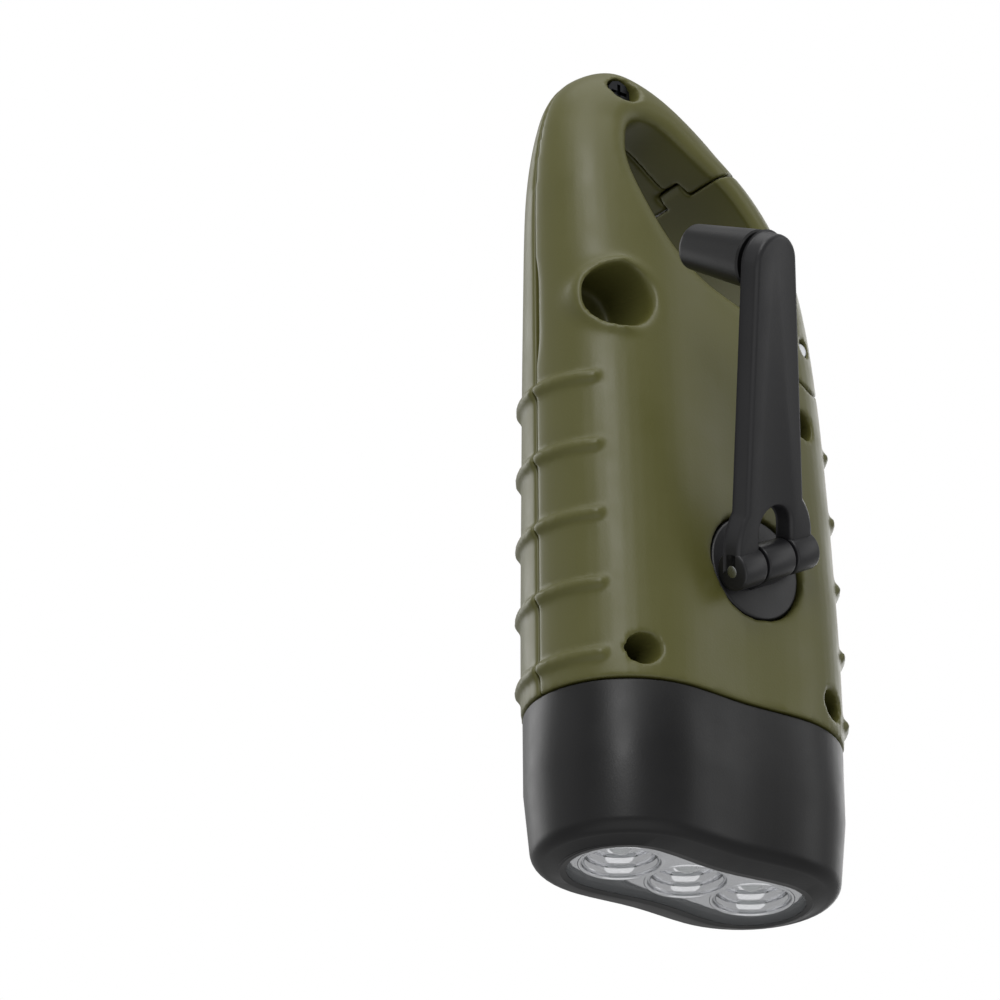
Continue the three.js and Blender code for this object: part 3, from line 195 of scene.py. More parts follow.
def loft(rings: Sequence[Sequence[Vector]], joined: bool = False) -> bmesh.types.BMesh:
    """Mesh through rings of as many points each.

    Args:
        rings: the rings, in order.
        joined: whether the last ring meets the first, as round a sleeve.

    Returns:
        A closed mesh, capped at both ends unless it is joined.
    """
    shape = bmesh.new()
    loops = [[shape.verts.new(point) for point in ring] for ring in rings]
    pairs = list(zip(loops, loops[1:]))
    if joined:
        pairs.append((loops[-1], loops[0]))
    for low, high in pairs:
        for a, b, c, d in zip(low, low[1:] + low[:1], high[1:] + high[:1], high):
            shape.faces.new((a, b, c, d))
    if not joined:
        shape.faces.new(loops[0])
        shape.faces.new(loops[-1])
    return shape


def cone(radii: Flat, length: float, turn: Matrix, middle: Vector, sides: int) -> bmesh.types.BMesh:
    """Round bar that may taper, drawn along Z and then turned.

    Args:
        radii: its radius at either end, in millimetres.
        length: its length in millimetres.
        turn: rotation that lays it down.
        middle: its middle in metres.
        sides: how many sides it has.

    Returns:
        The closed bar.
    """
    shape = bmesh.new()
    bmesh.ops.create_cone(
        shape,
        cap_ends=True,
        segments=sides,
        radius1=radii[0] * MM,
        radius2=radii[1] * MM,
        depth=length * MM,
        matrix=Matrix.Translation(middle) @ turn,
    )
    return shape


def bar(
    radius: float,
    start: float,
    end: float,
    x: float,
    z: float,
    sides: int = 48,
    end_radius: Optional[float] = None,
) -> bmesh.types.BMesh:
    """Round bar along Y between two depths, in millimetres from the body's axis.

    Args:
        radius: its radius at the start.
        start: its lower depth.
        end: its upper depth.
        x: place of its axis.
        z: height of its axis.
        sides: how many sides it has.
        end_radius: its radius at the end, where it tapers.

    Returns:
        The closed bar.
    """
    turn = Matrix.Rotation(-math.pi / 2, 4, "X")
    radii = (radius, radius if end_radius is None else end_radius)
    return cone(radii, end - start, turn, place(x, (start + end) / 2, z), sides)


def cross_bar(
    radius: float,
    start: float,
    end: float,
    y: float,
    z: float,
    sides: int = 48,
) -> bmesh.types.BMesh:
    """Round bar along X, in millimetres from the body's axis.

    Args:
        radius: its radius.
        start: its lower end.
        end: its upper end.
        y: depth of its axis.
        z: height of its axis.
        sides: how many sides it has.

    Returns:
        The closed bar.
    """
    turn = Matrix.Rotation(math.pi / 2, 4, "Y")
    return cone((radius, radius), end - start, turn, place((start + end) / 2, y, z), sides)


def box(low: Point, high: Point) -> bmesh.types.BMesh:
    """Plain box, in millimetres from the body's axis.

    Args:
        low: its lowest corner.
        high: its highest corner.

    Returns:
        The closed box.
    """
    shape = bmesh.new()
    middle = place(*((a + b) / 2 for a, b in zip(low, high)))
    size = [(b - a) * MM for a, b in zip(low, high)]
    bmesh.ops.create_cube(shape, size=1, matrix=Matrix.Translation(middle) @ Matrix.Diagonal((*size, 1)))
    return shape


def prism(outline: Sequence[Flat], start: float, end: float) -> bmesh.types.BMesh:
    """Outline drawn in X and Z, carried along Y.

    Args:
        outline: its corners, in millimetres.
        start: lower depth.
        end: upper depth.

    Returns:
        The closed prism.
    """
    return loft([[place(x, y, z) for x, z in outline] for y in (start, end)])


def merged(*shapes: bmesh.types.BMesh) -> bmesh.types.BMesh:
    """Several meshes as one, as they lie.

    Args:
        shapes: the meshes, which are used up.

    Returns:
        One mesh that holds them all.
    """
    whole = bmesh.new()
    for shape in shapes:
        keeper = bpy.data.meshes.new("keeper")
        shape.to_mesh(keeper)
        shape.free()
        whole.from_mesh(keeper)
        bpy.data.meshes.remove(keeper)
    return whole


def settle(obj: bpy.types.Object) -> bpy.types.Object:
    """Applies an object's modifiers to its mesh.

    Args:
        obj: the object.

    Returns:
        The same object, with no modifier left.
    """
    evaluated = obj.evaluated_get(bpy.context.evaluated_depsgraph_get())
    result = bpy.data.meshes.new_from_object(evaluated)
    old = obj.data
    obj.modifiers.clear()
    obj.data = result
    bpy.data.meshes.remove(old)
    return obj


def discard(obj: bpy.types.Object) -> None:
    """Removes a scratch object and its mesh.

    Args:
        obj: the scratch object.
    """
    data = obj.data
    bpy.data.objects.remove(obj)
    bpy.data.meshes.remove(data)


def carve(obj: bpy.types.Object, cut: Cut, *shapes: bmesh.types.BMesh) -> bpy.types.Object:
    """Cuts, keeps or joins shapes one after another.

    Args:
        obj: the object that is worked on.
        cut: what is done with each shape.
        shapes: the other meshes, which are used up.

    Returns:
        The same object.
    """
    for shape in shapes:
        tool = as_object(shape, "tool")
        modifier = obj.modifiers.new("carve", "BOOLEAN")
        modifier.operation = cut.value
        modifier.solver = "EXACT"
        modifier.object = tool
        settle(obj)
        discard(tool)
    return obj


def take_object(obj: bpy.types.Object) -> bmesh.types.BMesh:
    """Mesh of a scratch object, which is removed.

    Args:
        obj: the scratch object.

    Returns:
        Its mesh.
    """
    shape = bmesh.new()
    shape.from_mesh(obj.data)
    discard(obj)
    return shape


def copy_of(obj: bpy.types.Object) -> bpy.types.Object:
    """Copy of a scratch object with a mesh of its own.

    Args:
        obj: the scratch object.

    Returns:
        The copy.
    """
    other = obj.copy()
    other.data = obj.data.copy()
    bpy.context.scene.collection.objects.link(other)
    return other


def soften(obj: bpy.types.Object, voxel: float, rounds: int) -> bpy.types.Object:
    """Fuses an object to an even mesh and rounds its edges, as a mould's tool marks are polished.

    Args:
        obj: the object.
        voxel: mesh size in millimetres.
        rounds: how many times the points are eased.

    Returns:
        The same object, smooth shaded.
    """
    remesh = obj.modifiers.new("even", "REMESH")
    remesh.mode = "VOXEL"
    remesh.voxel_size = voxel * MM
    remesh.use_smooth_shade = True
    ease = obj.modifiers.new("ease", "SMOOTH")
    ease.factor = 0.5
    ease.iterations = rounds
    return settle(obj)


def ease_where(obj: bpy.types.Object, weight: Callable[[Vector], float], rounds: int) -> None:
    """Eases only the points that a rule picks.

    Args:
        obj: the object.
        weight: share of the easing at a point in metres.
        rounds: how many times the points are eased.
    """
    group = obj.vertex_groups.new(name="eased")
    for vertex in obj.data.vertices:
        share = weight(vertex.co)
        if share > 0:
            group.add([vertex.index], share, "REPLACE")
    ease = obj.modifiers.new("ease", "SMOOTH")
    ease.factor = 0.5
    ease.iterations = rounds
    ease.vertex_group = group.name
    settle(obj)
    obj.vertex_groups.clear()


def shade(obj: bpy.types.Object, sharp_degrees: float) -> bpy.types.Object:
    """Smooth shading that breaks at the sharp edges.

    Args:
        obj: the object.
        sharp_degrees: angle from which an edge is sharp.

    Returns:
        The same object.
    """
    shape = bmesh.new()
    shape.from_mesh(obj.data)
    limit = math.radians(sharp_degrees)
    for face in shape.faces:
        face.smooth = True
    for edge in shape.edges:
        edge.smooth = edge.calc_face_angle(0.0) < limit
    shape.to_mesh(obj.data)
    shape.free()
    return obj


def round_edges(shape: bmesh.types.BMesh, edges: Iterable, offset: float, segments: int = 3) -> None:
    """Bevels edges.

    Args:
        shape: the mesh.
        edges: its edges to bevel.
        offset: the bevel's width in millimetres.
        segments: steps across the bevel.
    """
    bmesh.ops.bevel(
        shape,
        geom=list(edges),
        offset=offset * MM,
        offset_type="OFFSET",
        segments=segments,
        profile=0.5,
        affect="EDGES",
        clamp_overlap=True,
        material=-1,
    )


def sharp_edges(shape: bmesh.types.BMesh, degrees: float = 50.0) -> List[bmesh.types.BMEdge]:
    """Edges of a mesh that turn by more than an angle."""
    return [edge for edge in shape.edges if edge.calc_face_angle(0.0) > math.radians(degrees)]


def turned(profile: Sequence[Flat], sides: int = 64) -> bmesh.types.BMesh:
    """Closed piece turned about Y from a profile of radius and depth in millimetres.

    Args:
        profile: its points, from the axis and back to the axis.
        sides: steps of the turn.

    Returns:
        The mesh about the origin, in metres.
    """
    shape = bmesh.new()
    corners = [shape.verts.new((radius * MM, depth * MM, 0)) for radius, depth in profile]
    edges = [shape.edges.new(pair) for pair in zip(corners, corners[1:])]
    bmesh.ops.spin(
        shape,
        geom=corners + edges,
        cent=(0, 0, 0),
        axis=(0, 1, 0),
        angle=2 * math.pi,
        steps=sides,
        use_merge=True,
        use_duplicate=False,
    )
    bmesh.ops.remove_doubles(shape, verts=shape.verts, dist=MM / 1000)
    bmesh.ops.recalc_face_normals(shape, faces=shape.faces)
    return shape


def moved(shape: bmesh.types.BMesh, matrix: Matrix) -> bmesh.types.BMesh:
    """Same mesh carried by a matrix."""
    bmesh.ops.transform(shape, matrix=matrix, verts=shape.verts)
    return shape


def linear(colour: str) -> Tuple[float, float, float, float]:
    """Linear colour of an sRGB hex value.

    Args:
        colour: such as #5b5d38.

    Returns:
        Red, green, blue and alpha.
    """
    values = [int(colour[i:i + 2], 16) / 255 for i in (1, 3, 5)]
    red, green, blue = (v / 12.92 if v <= 0.04045 else ((v + 0.055) / 1.055) ** 2.4 for v in values)
    return red, green, blue, 1.0


def add_node(tree: bpy.types.NodeTree, kind: str, settings: Dict, inputs: Dict) -> bpy.types.Node:
    """Adds a node with its settings, its values and its links.

    Args:
        tree: the node tree.
        kind: the node's type.
        settings: properties of the node.
        inputs: value or linked socket of each input.

    Returns:
        The new node.
    """
    node = tree.nodes.new(kind)
    for name, value in settings.items():
        setattr(node, name, value)
    for name, value in inputs.items():
        if isinstance(value, bpy.types.NodeSocket):
            tree.links.new(value, node.inputs[name])
        else:
            node.inputs[name].default_value = value
    return node


@dataclass(frozen=True)
class Finish:
    """Surface of one material, read in object coordinates so that its scale is real."""

    name: str
    slot: str
    colour: str
    second_colour: str
    roughness: float
    metallic: float = 0.0
    ior: float = 1.5
    coat: float = 0.0
    grain: float = 0.3
    grain_height: float = 0.01
    mottle: float = 9.0
    roughness_spread: float = 0.06
    alpha: float = 1.0

    def material(self) -> bpy.types.Material:
        """Material, built once and used again after that.

        Returns:
            The material.
        """
        known = bpy.data.materials.get(self.name)
        if known is not None:
            return known
        material = bpy.data.materials.new(self.name)
        material.use_nodes = True
        tree = material.node_tree
        tree.nodes.clear()
        where = add_node(tree, "ShaderNodeTexCoord", {}, {}).outputs["Object"]
        shader = add_node(tree, "ShaderNodeBsdfPrincipled", {}, {
            "Metallic": self.metallic,
            "Coat Weight": self.coat,
            "Coat Roughness": 0.12,
            "Alpha": self.alpha,
        })
        if self.metallic == 0:
            shader.inputs["IOR"].default_value = self.ior
        tree.links.new(self.colour_of(tree, where), shader.inputs["Base Color"])
        blotch = add_node(tree, "ShaderNodeTexNoise", {}, {
            "Vector": where,
            "Scale": 1 / (self.mottle * MM),
            "Detail": 4.0,
        })
        spread = add_node(tree, "ShaderNodeMapRange", {}, {
            "Value": blotch.outputs["Fac"],
            "From Min": 0.3,
            "From Max": 0.7,
            "To Min": max(self.roughness - self.roughness_spread, 0.0),
            "To Max": self.roughness + self.roughness_spread,
        })
        tree.links.new(spread.outputs["Result"], shader.inputs["Roughness"])
        tree.links.new(self.relief_of(tree, where), shader.inputs["Normal"])
        add_node(tree, "ShaderNodeOutputMaterial", {}, {"Surface": shader.outputs["BSDF"]})
        return material

    def colour_of(self, tree: bpy.types.NodeTree, where: bpy.types.NodeSocket) -> bpy.types.NodeSocket:
        """Colour that drifts slowly between the two tones.

        Args:
            tree: the material's node tree.
            where: socket of the object coordinates.

        Returns:
            Socket of the colour.
        """
        blotch = add_node(tree, "ShaderNodeTexNoise", {}, {
            "Vector": where,
            "Scale": 1 / (self.mottle * MM),
            "Detail": 3.0,
        })
        ramp = add_node(tree, "ShaderNodeMix", {"data_type": "RGBA"}, {})
        tree.links.new(blotch.outputs["Fac"], ramp.inputs[0])
        ramp.inputs[6].default_value = linear(self.colour)
        ramp.inputs[7].default_value = linear(self.second_colour)
        return ramp.outputs[2]

    def relief_of(self, tree: bpy.types.NodeTree, where: bpy.types.NodeSocket) -> bpy.types.NodeSocket:
        """Fine grain of the mould.

        Args:
            tree: the material's node tree.
            where: socket of the object coordinates.

        Returns:
            Socket of the normal.
        """
        grain = add_node(tree, "ShaderNodeTexNoise", {}, {
            "Vector": where,
            "Scale": 1 / (self.grain * MM),
            "Detail": 2.0,
        })
        bump = add_node(tree, "ShaderNodeBump", {}, {
            "Strength": 1.0,
            "Distance": self.grain_height * MM,
            "Height": grain.outputs["Fac"],
        })
        return bump.outputs["Normal"]


@dataclass(frozen=True)
class CellFinish(Finish):
    """Thin film solar cell: a brown film scribed across at an even pitch."""

    line_colour: str = "#b39a78"
    line_pitch: float = 4.0
    line_width: float = 0.24

    def colour_of(self, tree: bpy.types.NodeTree, where: bpy.types.NodeSocket) -> bpy.types.NodeSocket:
        """Brown film with a lighter line at each scribe.

        Args:
            tree: the material's node tree.
            where: socket of the object coordinates.

        Returns:
            Socket of the colour.
        """
        film = super().colour_of(tree, where)
        value = add_node(tree, "ShaderNodeSeparateXYZ", {}, {"Vector": where}).outputs["Z"]
        for operation, length in (("FLOORED_MODULO", self.line_pitch), ("LESS_THAN", self.line_width)):
            inputs = {0: value, 1: length * MM}
            value = add_node(tree, "ShaderNodeMath", {"operation": operation}, inputs).outputs[0]
        scribed = add_node(tree, "ShaderNodeMix", {"data_type": "RGBA"}, {})
        tree.links.new(value, scribed.inputs[0])
        tree.links.new(film, scribed.inputs[6])
        scribed.inputs[7].default_value = linear(self.line_colour)
        return scribed.outputs[2]


# Olive ABS from a spark-eroded mould: a satin skin with a fine even grain, drawn coarser than
# the mould's so that it shows
OLIVE_ABS = Finish(
    "olive_abs_moulded", "olive_abs", "#55542a", "#5a592e", 0.42, ior=1.42,
    grain=0.35, grain_height=0.012,
)
# Black ABS, satin: dark, with a soft sheen on its rounded edges
BLACK_ABS = Finish(
    "black_abs_moulded", "black_abs", "#0d0d0e", "#121213", 0.4, ior=1.36,
    grain=0.3, grain_height=0.01,
)
# The same black ABS on the crank, painted a shade paler to stand in for the light that falls on it
CRANK_ABS_PAINTED_LIGHT = Finish(
    "black_abs_crank_painted_light", "black_abs", "#19191b", "#202022", 0.42, ior=1.42,
    grain=0.3, grain_height=0.01,
)
# Black polished ABS of the solar frame: near mirror, with a slight pull in its skin
GLOSS_BLACK = Finish(
    "black_abs_polished", "gloss_black", "#0f0f11", "#131315", 0.24, ior=1.48, coat=0.3,
    grain=1.2, grain_height=0.006,
)
# Thin film cell: a brown film under a clear coat, paler along its scribe lines
CELL_BROWN = CellFinish(
    "thin_film_cell", "cell_brown", "#8a6b54", "#a1805f", 0.3, coat=0.5,
    grain=0.2, grain_height=0.002, mottle=14.0,
)
# Clear acrylic, injection moulded and polished: hardly seen but for its reflections
CLEAR_ACRYLIC = Finish(
    "clear_acrylic_polished", "clear_acrylic", "#b9bec2", "#c4c8cb", 0.03, ior=1.49, coat=1.0, alpha=0.14,
    grain=3.0, grain_height=0.002, roughness_spread=0.01,
)
# Vacuum-metallised reflector: a bright mirror over plastic
CHROME_PLATE = Finish(
    "reflector_metallised", "chrome_plate", "#e6e7e9", "#eeeef0", 0.07, metallic=1.0,
    grain=1.5, grain_height=0.01, roughness_spread=0.03,
)
# Lamp of clear epoxy over a pale chip: milky, with a bright point on its dome
LAMP_EPOXY = Finish(
    "lamp_epoxy", "lamp_white", "#dfe3e4", "#eef0f0", 0.12, ior=1.54, coat=0.6,
    grain=1.0, grain_height=0.004,
)
# Drawn steel: bright, with a soft sheen
STEEL = Finish("steel_drawn", "steel", "#a8aaad", "#b4b6b8", 0.3, metallic=1.0, grain=0.4, grain_height=0.006)
# Zinc-plated steel of the screws: pale grey and half dull
ZINC = Finish(
    "zinc_plated", "zinc_steel", "#8b8d90", "#999b9e", 0.36, metallic=1.0,
    grain=0.3, grain_height=0.006,
)
# Steel of the case screws, painted near black to stand in for the shade deep in their holes
SCREW_STEEL_PAINTED_SHADE = Finish(
    "screw_steel_painted_shade", "zinc_steel", "#27282a", "#303133", 0.45, metallic=1.0,
    grain=0.3, grain_height=0.006,
)
# Unfilled nylon of the moulded gears: milky, with a low sheen
NYLON = Finish(
    "white_nylon_moulded", "white_nylon", "#e2e0d7", "#ebe9e2", 0.5, ior=1.53,
    grain=0.4, grain_height=0.008,
)
# Sintered magnet: dark grey and dull
MAGNET = Finish(
    "magnet_sintered", "magnet_grey", "#4a4b4e", "#56575a", 0.5, metallic=0.6,
    grain=0.2, grain_height=0.01,
)
# Enamelled copper wire, wound: warm and bright under its varnish
COPPER = Finish(
    "copper_enamelled", "copper_wire", "#a9632f", "#bd7440", 0.32, metallic=1.0,
    grain=0.25, grain_height=0.02,
)
# Solder resist over glass cloth: green, with a soft gloss
BOARD = Finish(
    "board_resist", "board_green", "#28603a", "#316e45", 0.35, ior=1.5,
    grain=0.5, grain_height=0.01,
)
# Heat-shrunk sleeve: blue, with a soft gloss and slight waves
SLEEVE = Finish(
    "sleeve_shrunk", "sleeve_blue", "#2b5894", "#33639f", 0.35, ior=1.5,
    grain=1.5, grain_height=0.02,
)
# Soft moulded rubber: black and dull
RUBBER = Finish(
    "rubber_moulded", "rubber_black", "#1b1b1c", "#222223", 0.75, ior=1.52,
    grain=0.3, grain_height=0.02,
)


def finish_piece(obj: bpy.types.Object, finish: Finish, body: str, *nodes: str) -> None:
    """Gives a piece its material, its body and the CAD nodes that it stands for.

    Args:
        obj: the finished object.
        finish: its surface.
        body: the CAD body that carries it.
        nodes: CAD nodes that it replaces.
    """
    obj.data.materials.clear()
    obj.data.materials.append(finish.material())
    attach(obj, body)
    if nodes:
        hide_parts(*nodes)
    log.info("piece %s: %d faces on %s", obj.name, len(obj.data.polygons), body)


def piece(
    shape: bmesh.types.BMesh,
    name: str,
    finish: Finish,
    body: str,
    sharp_degrees: float = 30.0,
) -> None:
    """Makes the shaded piece that stands for one CAD node.

    Args:
        shape: its mesh, which is used up.
        name: the node that it stands for.
        finish: its surface.
        body: the CAD body that carries it.
        sharp_degrees: angle from which an edge is sharp.
    """
    finish_piece(shade(as_object(shape, f"{name}_skin"), sharp_degrees), finish, body, name)


def section(left: float, right: float, depth: float, reach: float, waist: float, z: float) -> List[Vector]:
    """Ring with two rounded ends joined by flats that dip at the middle.

    Args:
        left: its lowest X in millimetres.
        right: its highest X.
        depth: its half depth.
        reach: length of each rounded end.
        waist: how far the flats dip.
        z: its height.

    Returns:
        The ring's points.
    """
    middle = (left + right) / 2
    span = (right - left) / 2
    flat = max(span - reach, LEAST_FLAT)
    points = []
    for side in (1, -1):
        for share in steps(END_STEPS):
            angle = -math.pi / 2 + math.pi * share
            out = flat + (span - flat) * math.cos(angle)
            points.append((middle + side * out, side * depth * math.sin(angle)))
        for share in steps(FLAT_STEPS)[1:-1]:
            along = 1 - 2 * share
            dip = waist * math.cos(along * math.pi / 2) ** 2
            points.append((middle + side * along * flat, side * (depth - dip)))
    return [place(x, y, z) for x, y in points]


@dataclass
class BodyForm:
    """Outer form of the body: its levels, its section and the carabiner's opening."""

    # Height, gate side, spine side and half depth in millimetres
    levels: Sequence[Tuple[float, float, float, float]] = (
        (23.9, -26, 26, 15.4),
        (40.2, -25.8, 26, 15.1),
        (60.2, -25.2, 26, 14.25),
        (75.2, -24.4, 26, 13.6),
        (85.1, -23.6, 26, 13.0),
        (93.1, -22.6, 26, 12.45),
        (100.1, -21.1, 26, 11.9),
        (107, -18.1, 25.8, 11.3),
        (113, -13.9, 25.2, 10.5),
        (118.1, -8.2, 24.2, 9.6),
        (122.1, -2.8, 22.8, 8.5),
        (125.5, 2.6, 20.6, 6.8),
        (128, 8.4, 17.3, 4.5),
        (129, 11.6, 14.2, 2.0),
    )
    reach: float = 16.2
    waist: float = 0.5
    wall: float = 2.0
    seam_y: float = -0.6
    seam_gap: float = 0.14
    opening: Sequence[Flat] = (
        (-11.6, 90.9), (-8.6, 89.4), (-2.5, 91.2), (3.8, 93.9), (9.3, 98.9), (13.4, 105.8), (15, 112),
        (13.6, 118), (9, 118.6), (2.7, 114.7), (-3.9, 110.3), (-9.1, 104), (-12, 96.7), (-12.4, 93),
    )
    opening_flare: float = 3.6
    opening_drop: float = 2.4
    opening_lead: float = 18.0
    cavity_base: float = 15.0
    cavity_last_level: int = 10
    rows: List[Tuple[float, ...]] = field(default_factory=list)

    def __post_init__(self) -> None:
        """Works out the close rows between the levels."""
        self.rows = self.smooth_rows(self.levels, 6, closed=False)

    @staticmethod
    def smooth_rows(knots: Sequence[Tuple[float, ...]], count: int, closed: bool) -> List[Tuple[float, ...]]:
        """Rows of a smooth curve through knots.

        Args:
            knots: its knots, of any number of values.
            count: steps between two knots.
            closed: whether the last knot leads back to the first.

        Returns:
            The rows, with the last knot where the curve is open.
        """
        total = len(knots)
        rows = []
        for k in range(total if closed else total - 1):
            if closed:
                a, b, c, d = (knots[(k + i) % total] for i in (-1, 0, 1, 2))
            else:
                a, b, c, d = (knots[min(max(k + i, 0), total - 1)] for i in (-1, 0, 1, 2))
            for share in steps(count)[:-1]:
                rows.append(tuple(curve(*four, share) for four in zip(a, b, c, d)))
        if not closed:
            rows.append(tuple(knots[-1]))
        return rows

    def row_at(self, z: float) -> Tuple[float, ...]:
        """Level of the body at a height.

        Args:
            z: the height.

        Returns:
            Height, gate side, spine side and half depth.
        """
        if z <= self.rows[0][0]:
            return self.rows[0]
        for low, high in zip(self.rows, self.rows[1:]):
            if z <= high[0]:
                share = (z - low[0]) / max(high[0] - low[0], 1e-6)
                return tuple(mix(a, b, share) for a, b in zip(low, high))
        return self.rows[-1]

    def ring(self, row: Tuple[float, ...], inset: float, z: Optional[float] = None) -> List[Vector]:
        """Section of the body.

        Args:
            row: its level.
            inset: how far it is drawn in.
            z: its height, where that isn't the level's own.

        Returns:
            The ring's points.
        """
        height, left, right, depth = row
        share = (height - self.levels[0][0]) / (self.levels[-1][0] - self.levels[0][0])
        return section(
            left + inset, right - inset, depth - inset, self.reach - inset, self.waist * (1 - share),
            height if z is None else z,
        )

    def depth_at(self, x: float, z: float) -> float:
        """Half depth of the body at a place on its face.

        Args:
            x: place across the body.
            z: its height.

        Returns:
            The half depth there.
        """
        _, left, right, depth = self.row_at(z)
        middle = (left + right) / 2
        span = (right - left) / 2
        flat = max(span - self.reach, LEAST_FLAT)
        along = max(abs(x - middle) - flat, 0) / (span - flat)
        return depth * math.sqrt(max(1 - along ** 2, 0))

    def outer(self) -> bmesh.types.BMesh:
        """Body as one closed form."""
        return loft([self.ring(row, 0) for row in self.rows])

    def cavity(self) -> bmesh.types.BMesh:
        """Room inside the walls, open towards the head.

        Returns:
            The closed room.
        """
        top = self.levels[self.cavity_last_level][0]
        rows = [row for row in self.rows[1:] if row[0] < top]
        base = self.ring(self.rows[0], self.wall, self.cavity_base)
        return loft([base, *(self.ring(row, self.wall) for row in rows)])

    def outline(self, offset: float) -> List[Flat]:
        """Opening's outline.

        Args:
            offset: how far it grows along its normals.

        Returns:
            Its points.
        """
        knots = self.smooth_rows(self.opening, 7, closed=True)
        grown = []
        for before, at, after in zip(knots[-1:] + knots[:-1], knots, knots[1:] + knots[:1]):
            along = Vector((after[0] - before[0], after[1] - before[1])).normalized()
            grown.append((at[0] + along.y * offset, at[1] - along.x * offset))
        return grown

    def opening_cutter(self) -> bmesh.types.BMesh:
        """Bar that cuts the opening, with mouths that flare over both faces.

        Returns:
            The closed bar.
        """
        rings = []
        for side in (-1, 1):
            mouth = [[place(x, side * FAR, z) for x, z in self.outline(self.opening_flare)]]
            for share in steps(6):
                angle = mix(math.pi / 2, math.radians(self.opening_lead), share)
                drop = self.opening_drop * (1 - math.sin(angle))
                places = self.outline(self.opening_flare * (1 - math.cos(angle)))
                mouth.append([place(x, side * (self.depth_at(x, z) - drop), z) for x, z in places])
            rings.extend(mouth if side < 0 else reversed(mouth))
        return loft(rings)


@dataclass
class GateForm:
    """Carabiner gate: its pivot, its limb, its catch and the tongue it turns on."""

    pivot_x: float = -16.5
    pivot_z: float = 88.0
    knuckle: float = 7.3
    reach: float = 29.0
    first: float = 57.0
    last: float = 178.0
    inner: Sequence[Flat] = ((-8.0, 95.4), (-4.2, 102.8))
    catch_reach: float = 31.4
    catch_half: float = 2.5
    catch_angle: float = 12.0
    catch_root: float = 0.5
    tongue: float = 5.2
    tongue_half: float = 1.9
    neck_half: float = 3.5
    neck_sweep: Flat = (226.0, 342.0)
    slot_gap: float = 0.3
    slot_back: float = 6.3
    coil_room: float = 4.9
    coil_shift: float = 1.0
    coil_wall_x: float = -13.1
    coil_wall_rise: float = 0.5
    pin_bore: float = 1.45
    gap: float = 0.26

    def arc(self, radius: float, start: float, end: float, count: int = 24) -> List[Flat]:
        """Points round the pivot.

        Args:
            radius: their distance from it.
            start: angle of the first, in degrees.
            end: angle of the last.
            count: steps between them.

        Returns:
            The points.
        """
        angles = [math.radians(mix(start, end, share)) for share in steps(count)]
        return [(self.pivot_x + radius * math.cos(a), self.pivot_z + radius * math.sin(a)) for a in angles]

    def region(self, grow: float) -> bmesh.types.BMesh:
        """Space that the gate takes.

        Args:
            grow: clearance that it grows by.

        Returns:
            The closed space.
        """
        x, z = self.pivot_x, self.pivot_z
        limb = [(x, z), *self.inner, *self.arc(self.reach + grow, self.first, self.last)]
        whole = as_object(prism(limb, -FAR, FAR), "region")
        carve(whole, Cut.JOIN, bar(self.knuckle + grow, -FAR - 1, FAR + 1, x, z, 64))
        return take_object(whole)

    def catch(self, grow: float, sweep: float) -> bmesh.types.BMesh:
        """Catch on the gate's nose, or its slot when grown and swept.

        Args:
            grow: clearance round it.
            sweep: angle in degrees that it sweeps as the gate opens.

        Returns:
            The closed catch.
        """
        turn = math.degrees(grow / self.reach)
        start = self.first - sweep - turn
        end = self.first + self.catch_angle + turn
        nose = self.arc(self.catch_reach + grow, start, end, 8)
        root = self.arc(self.reach - self.catch_root, end, start, 8)
        return prism(nose + root, -self.catch_half - grow, self.catch_half + grow)

    def slot(self) -> List[bmesh.types.BMesh]:
        """Slot in the knuckle: the tongue's, the spring's room and the neck's sweep.

        Returns:
            The three cutters. A wall stays between the spring's room and the opening.
        """
        x, z, shift = self.pivot_x, self.pivot_z, self.coil_shift
        sector = [(x, z), *self.arc(self.knuckle + 2, *self.neck_sweep)]
        start = -self.tongue_half - self.slot_gap
        room = as_object(bar(self.coil_room, 0, self.slot_back, x + shift, z + shift), "room")
        carve(room, Cut.TAKE, box((self.coil_wall_x, -1, z + self.coil_wall_rise), (FAR, FAR, HIGH)))
        return [
            bar(self.tongue + self.slot_gap, start, -start, x, z),
            take_object(room),
            prism(sector, start - 0.01, self.slot_back + 0.01),
        ]

    def tongue_shape(self) -> bmesh.types.BMesh:
        """Tongue of the rear casing that the gate turns on.

        Returns:
            The tongue with its neck.
        """
        half = self.tongue_half
        neck = box(
            (self.pivot_x - self.neck_half, -half, self.pivot_z - self.knuckle - 2),
            (self.pivot_x + self.neck_half, half, self.pivot_z),
        )
        return merged(bar(self.tongue, -half, half, self.pivot_x, self.pivot_z), neck)


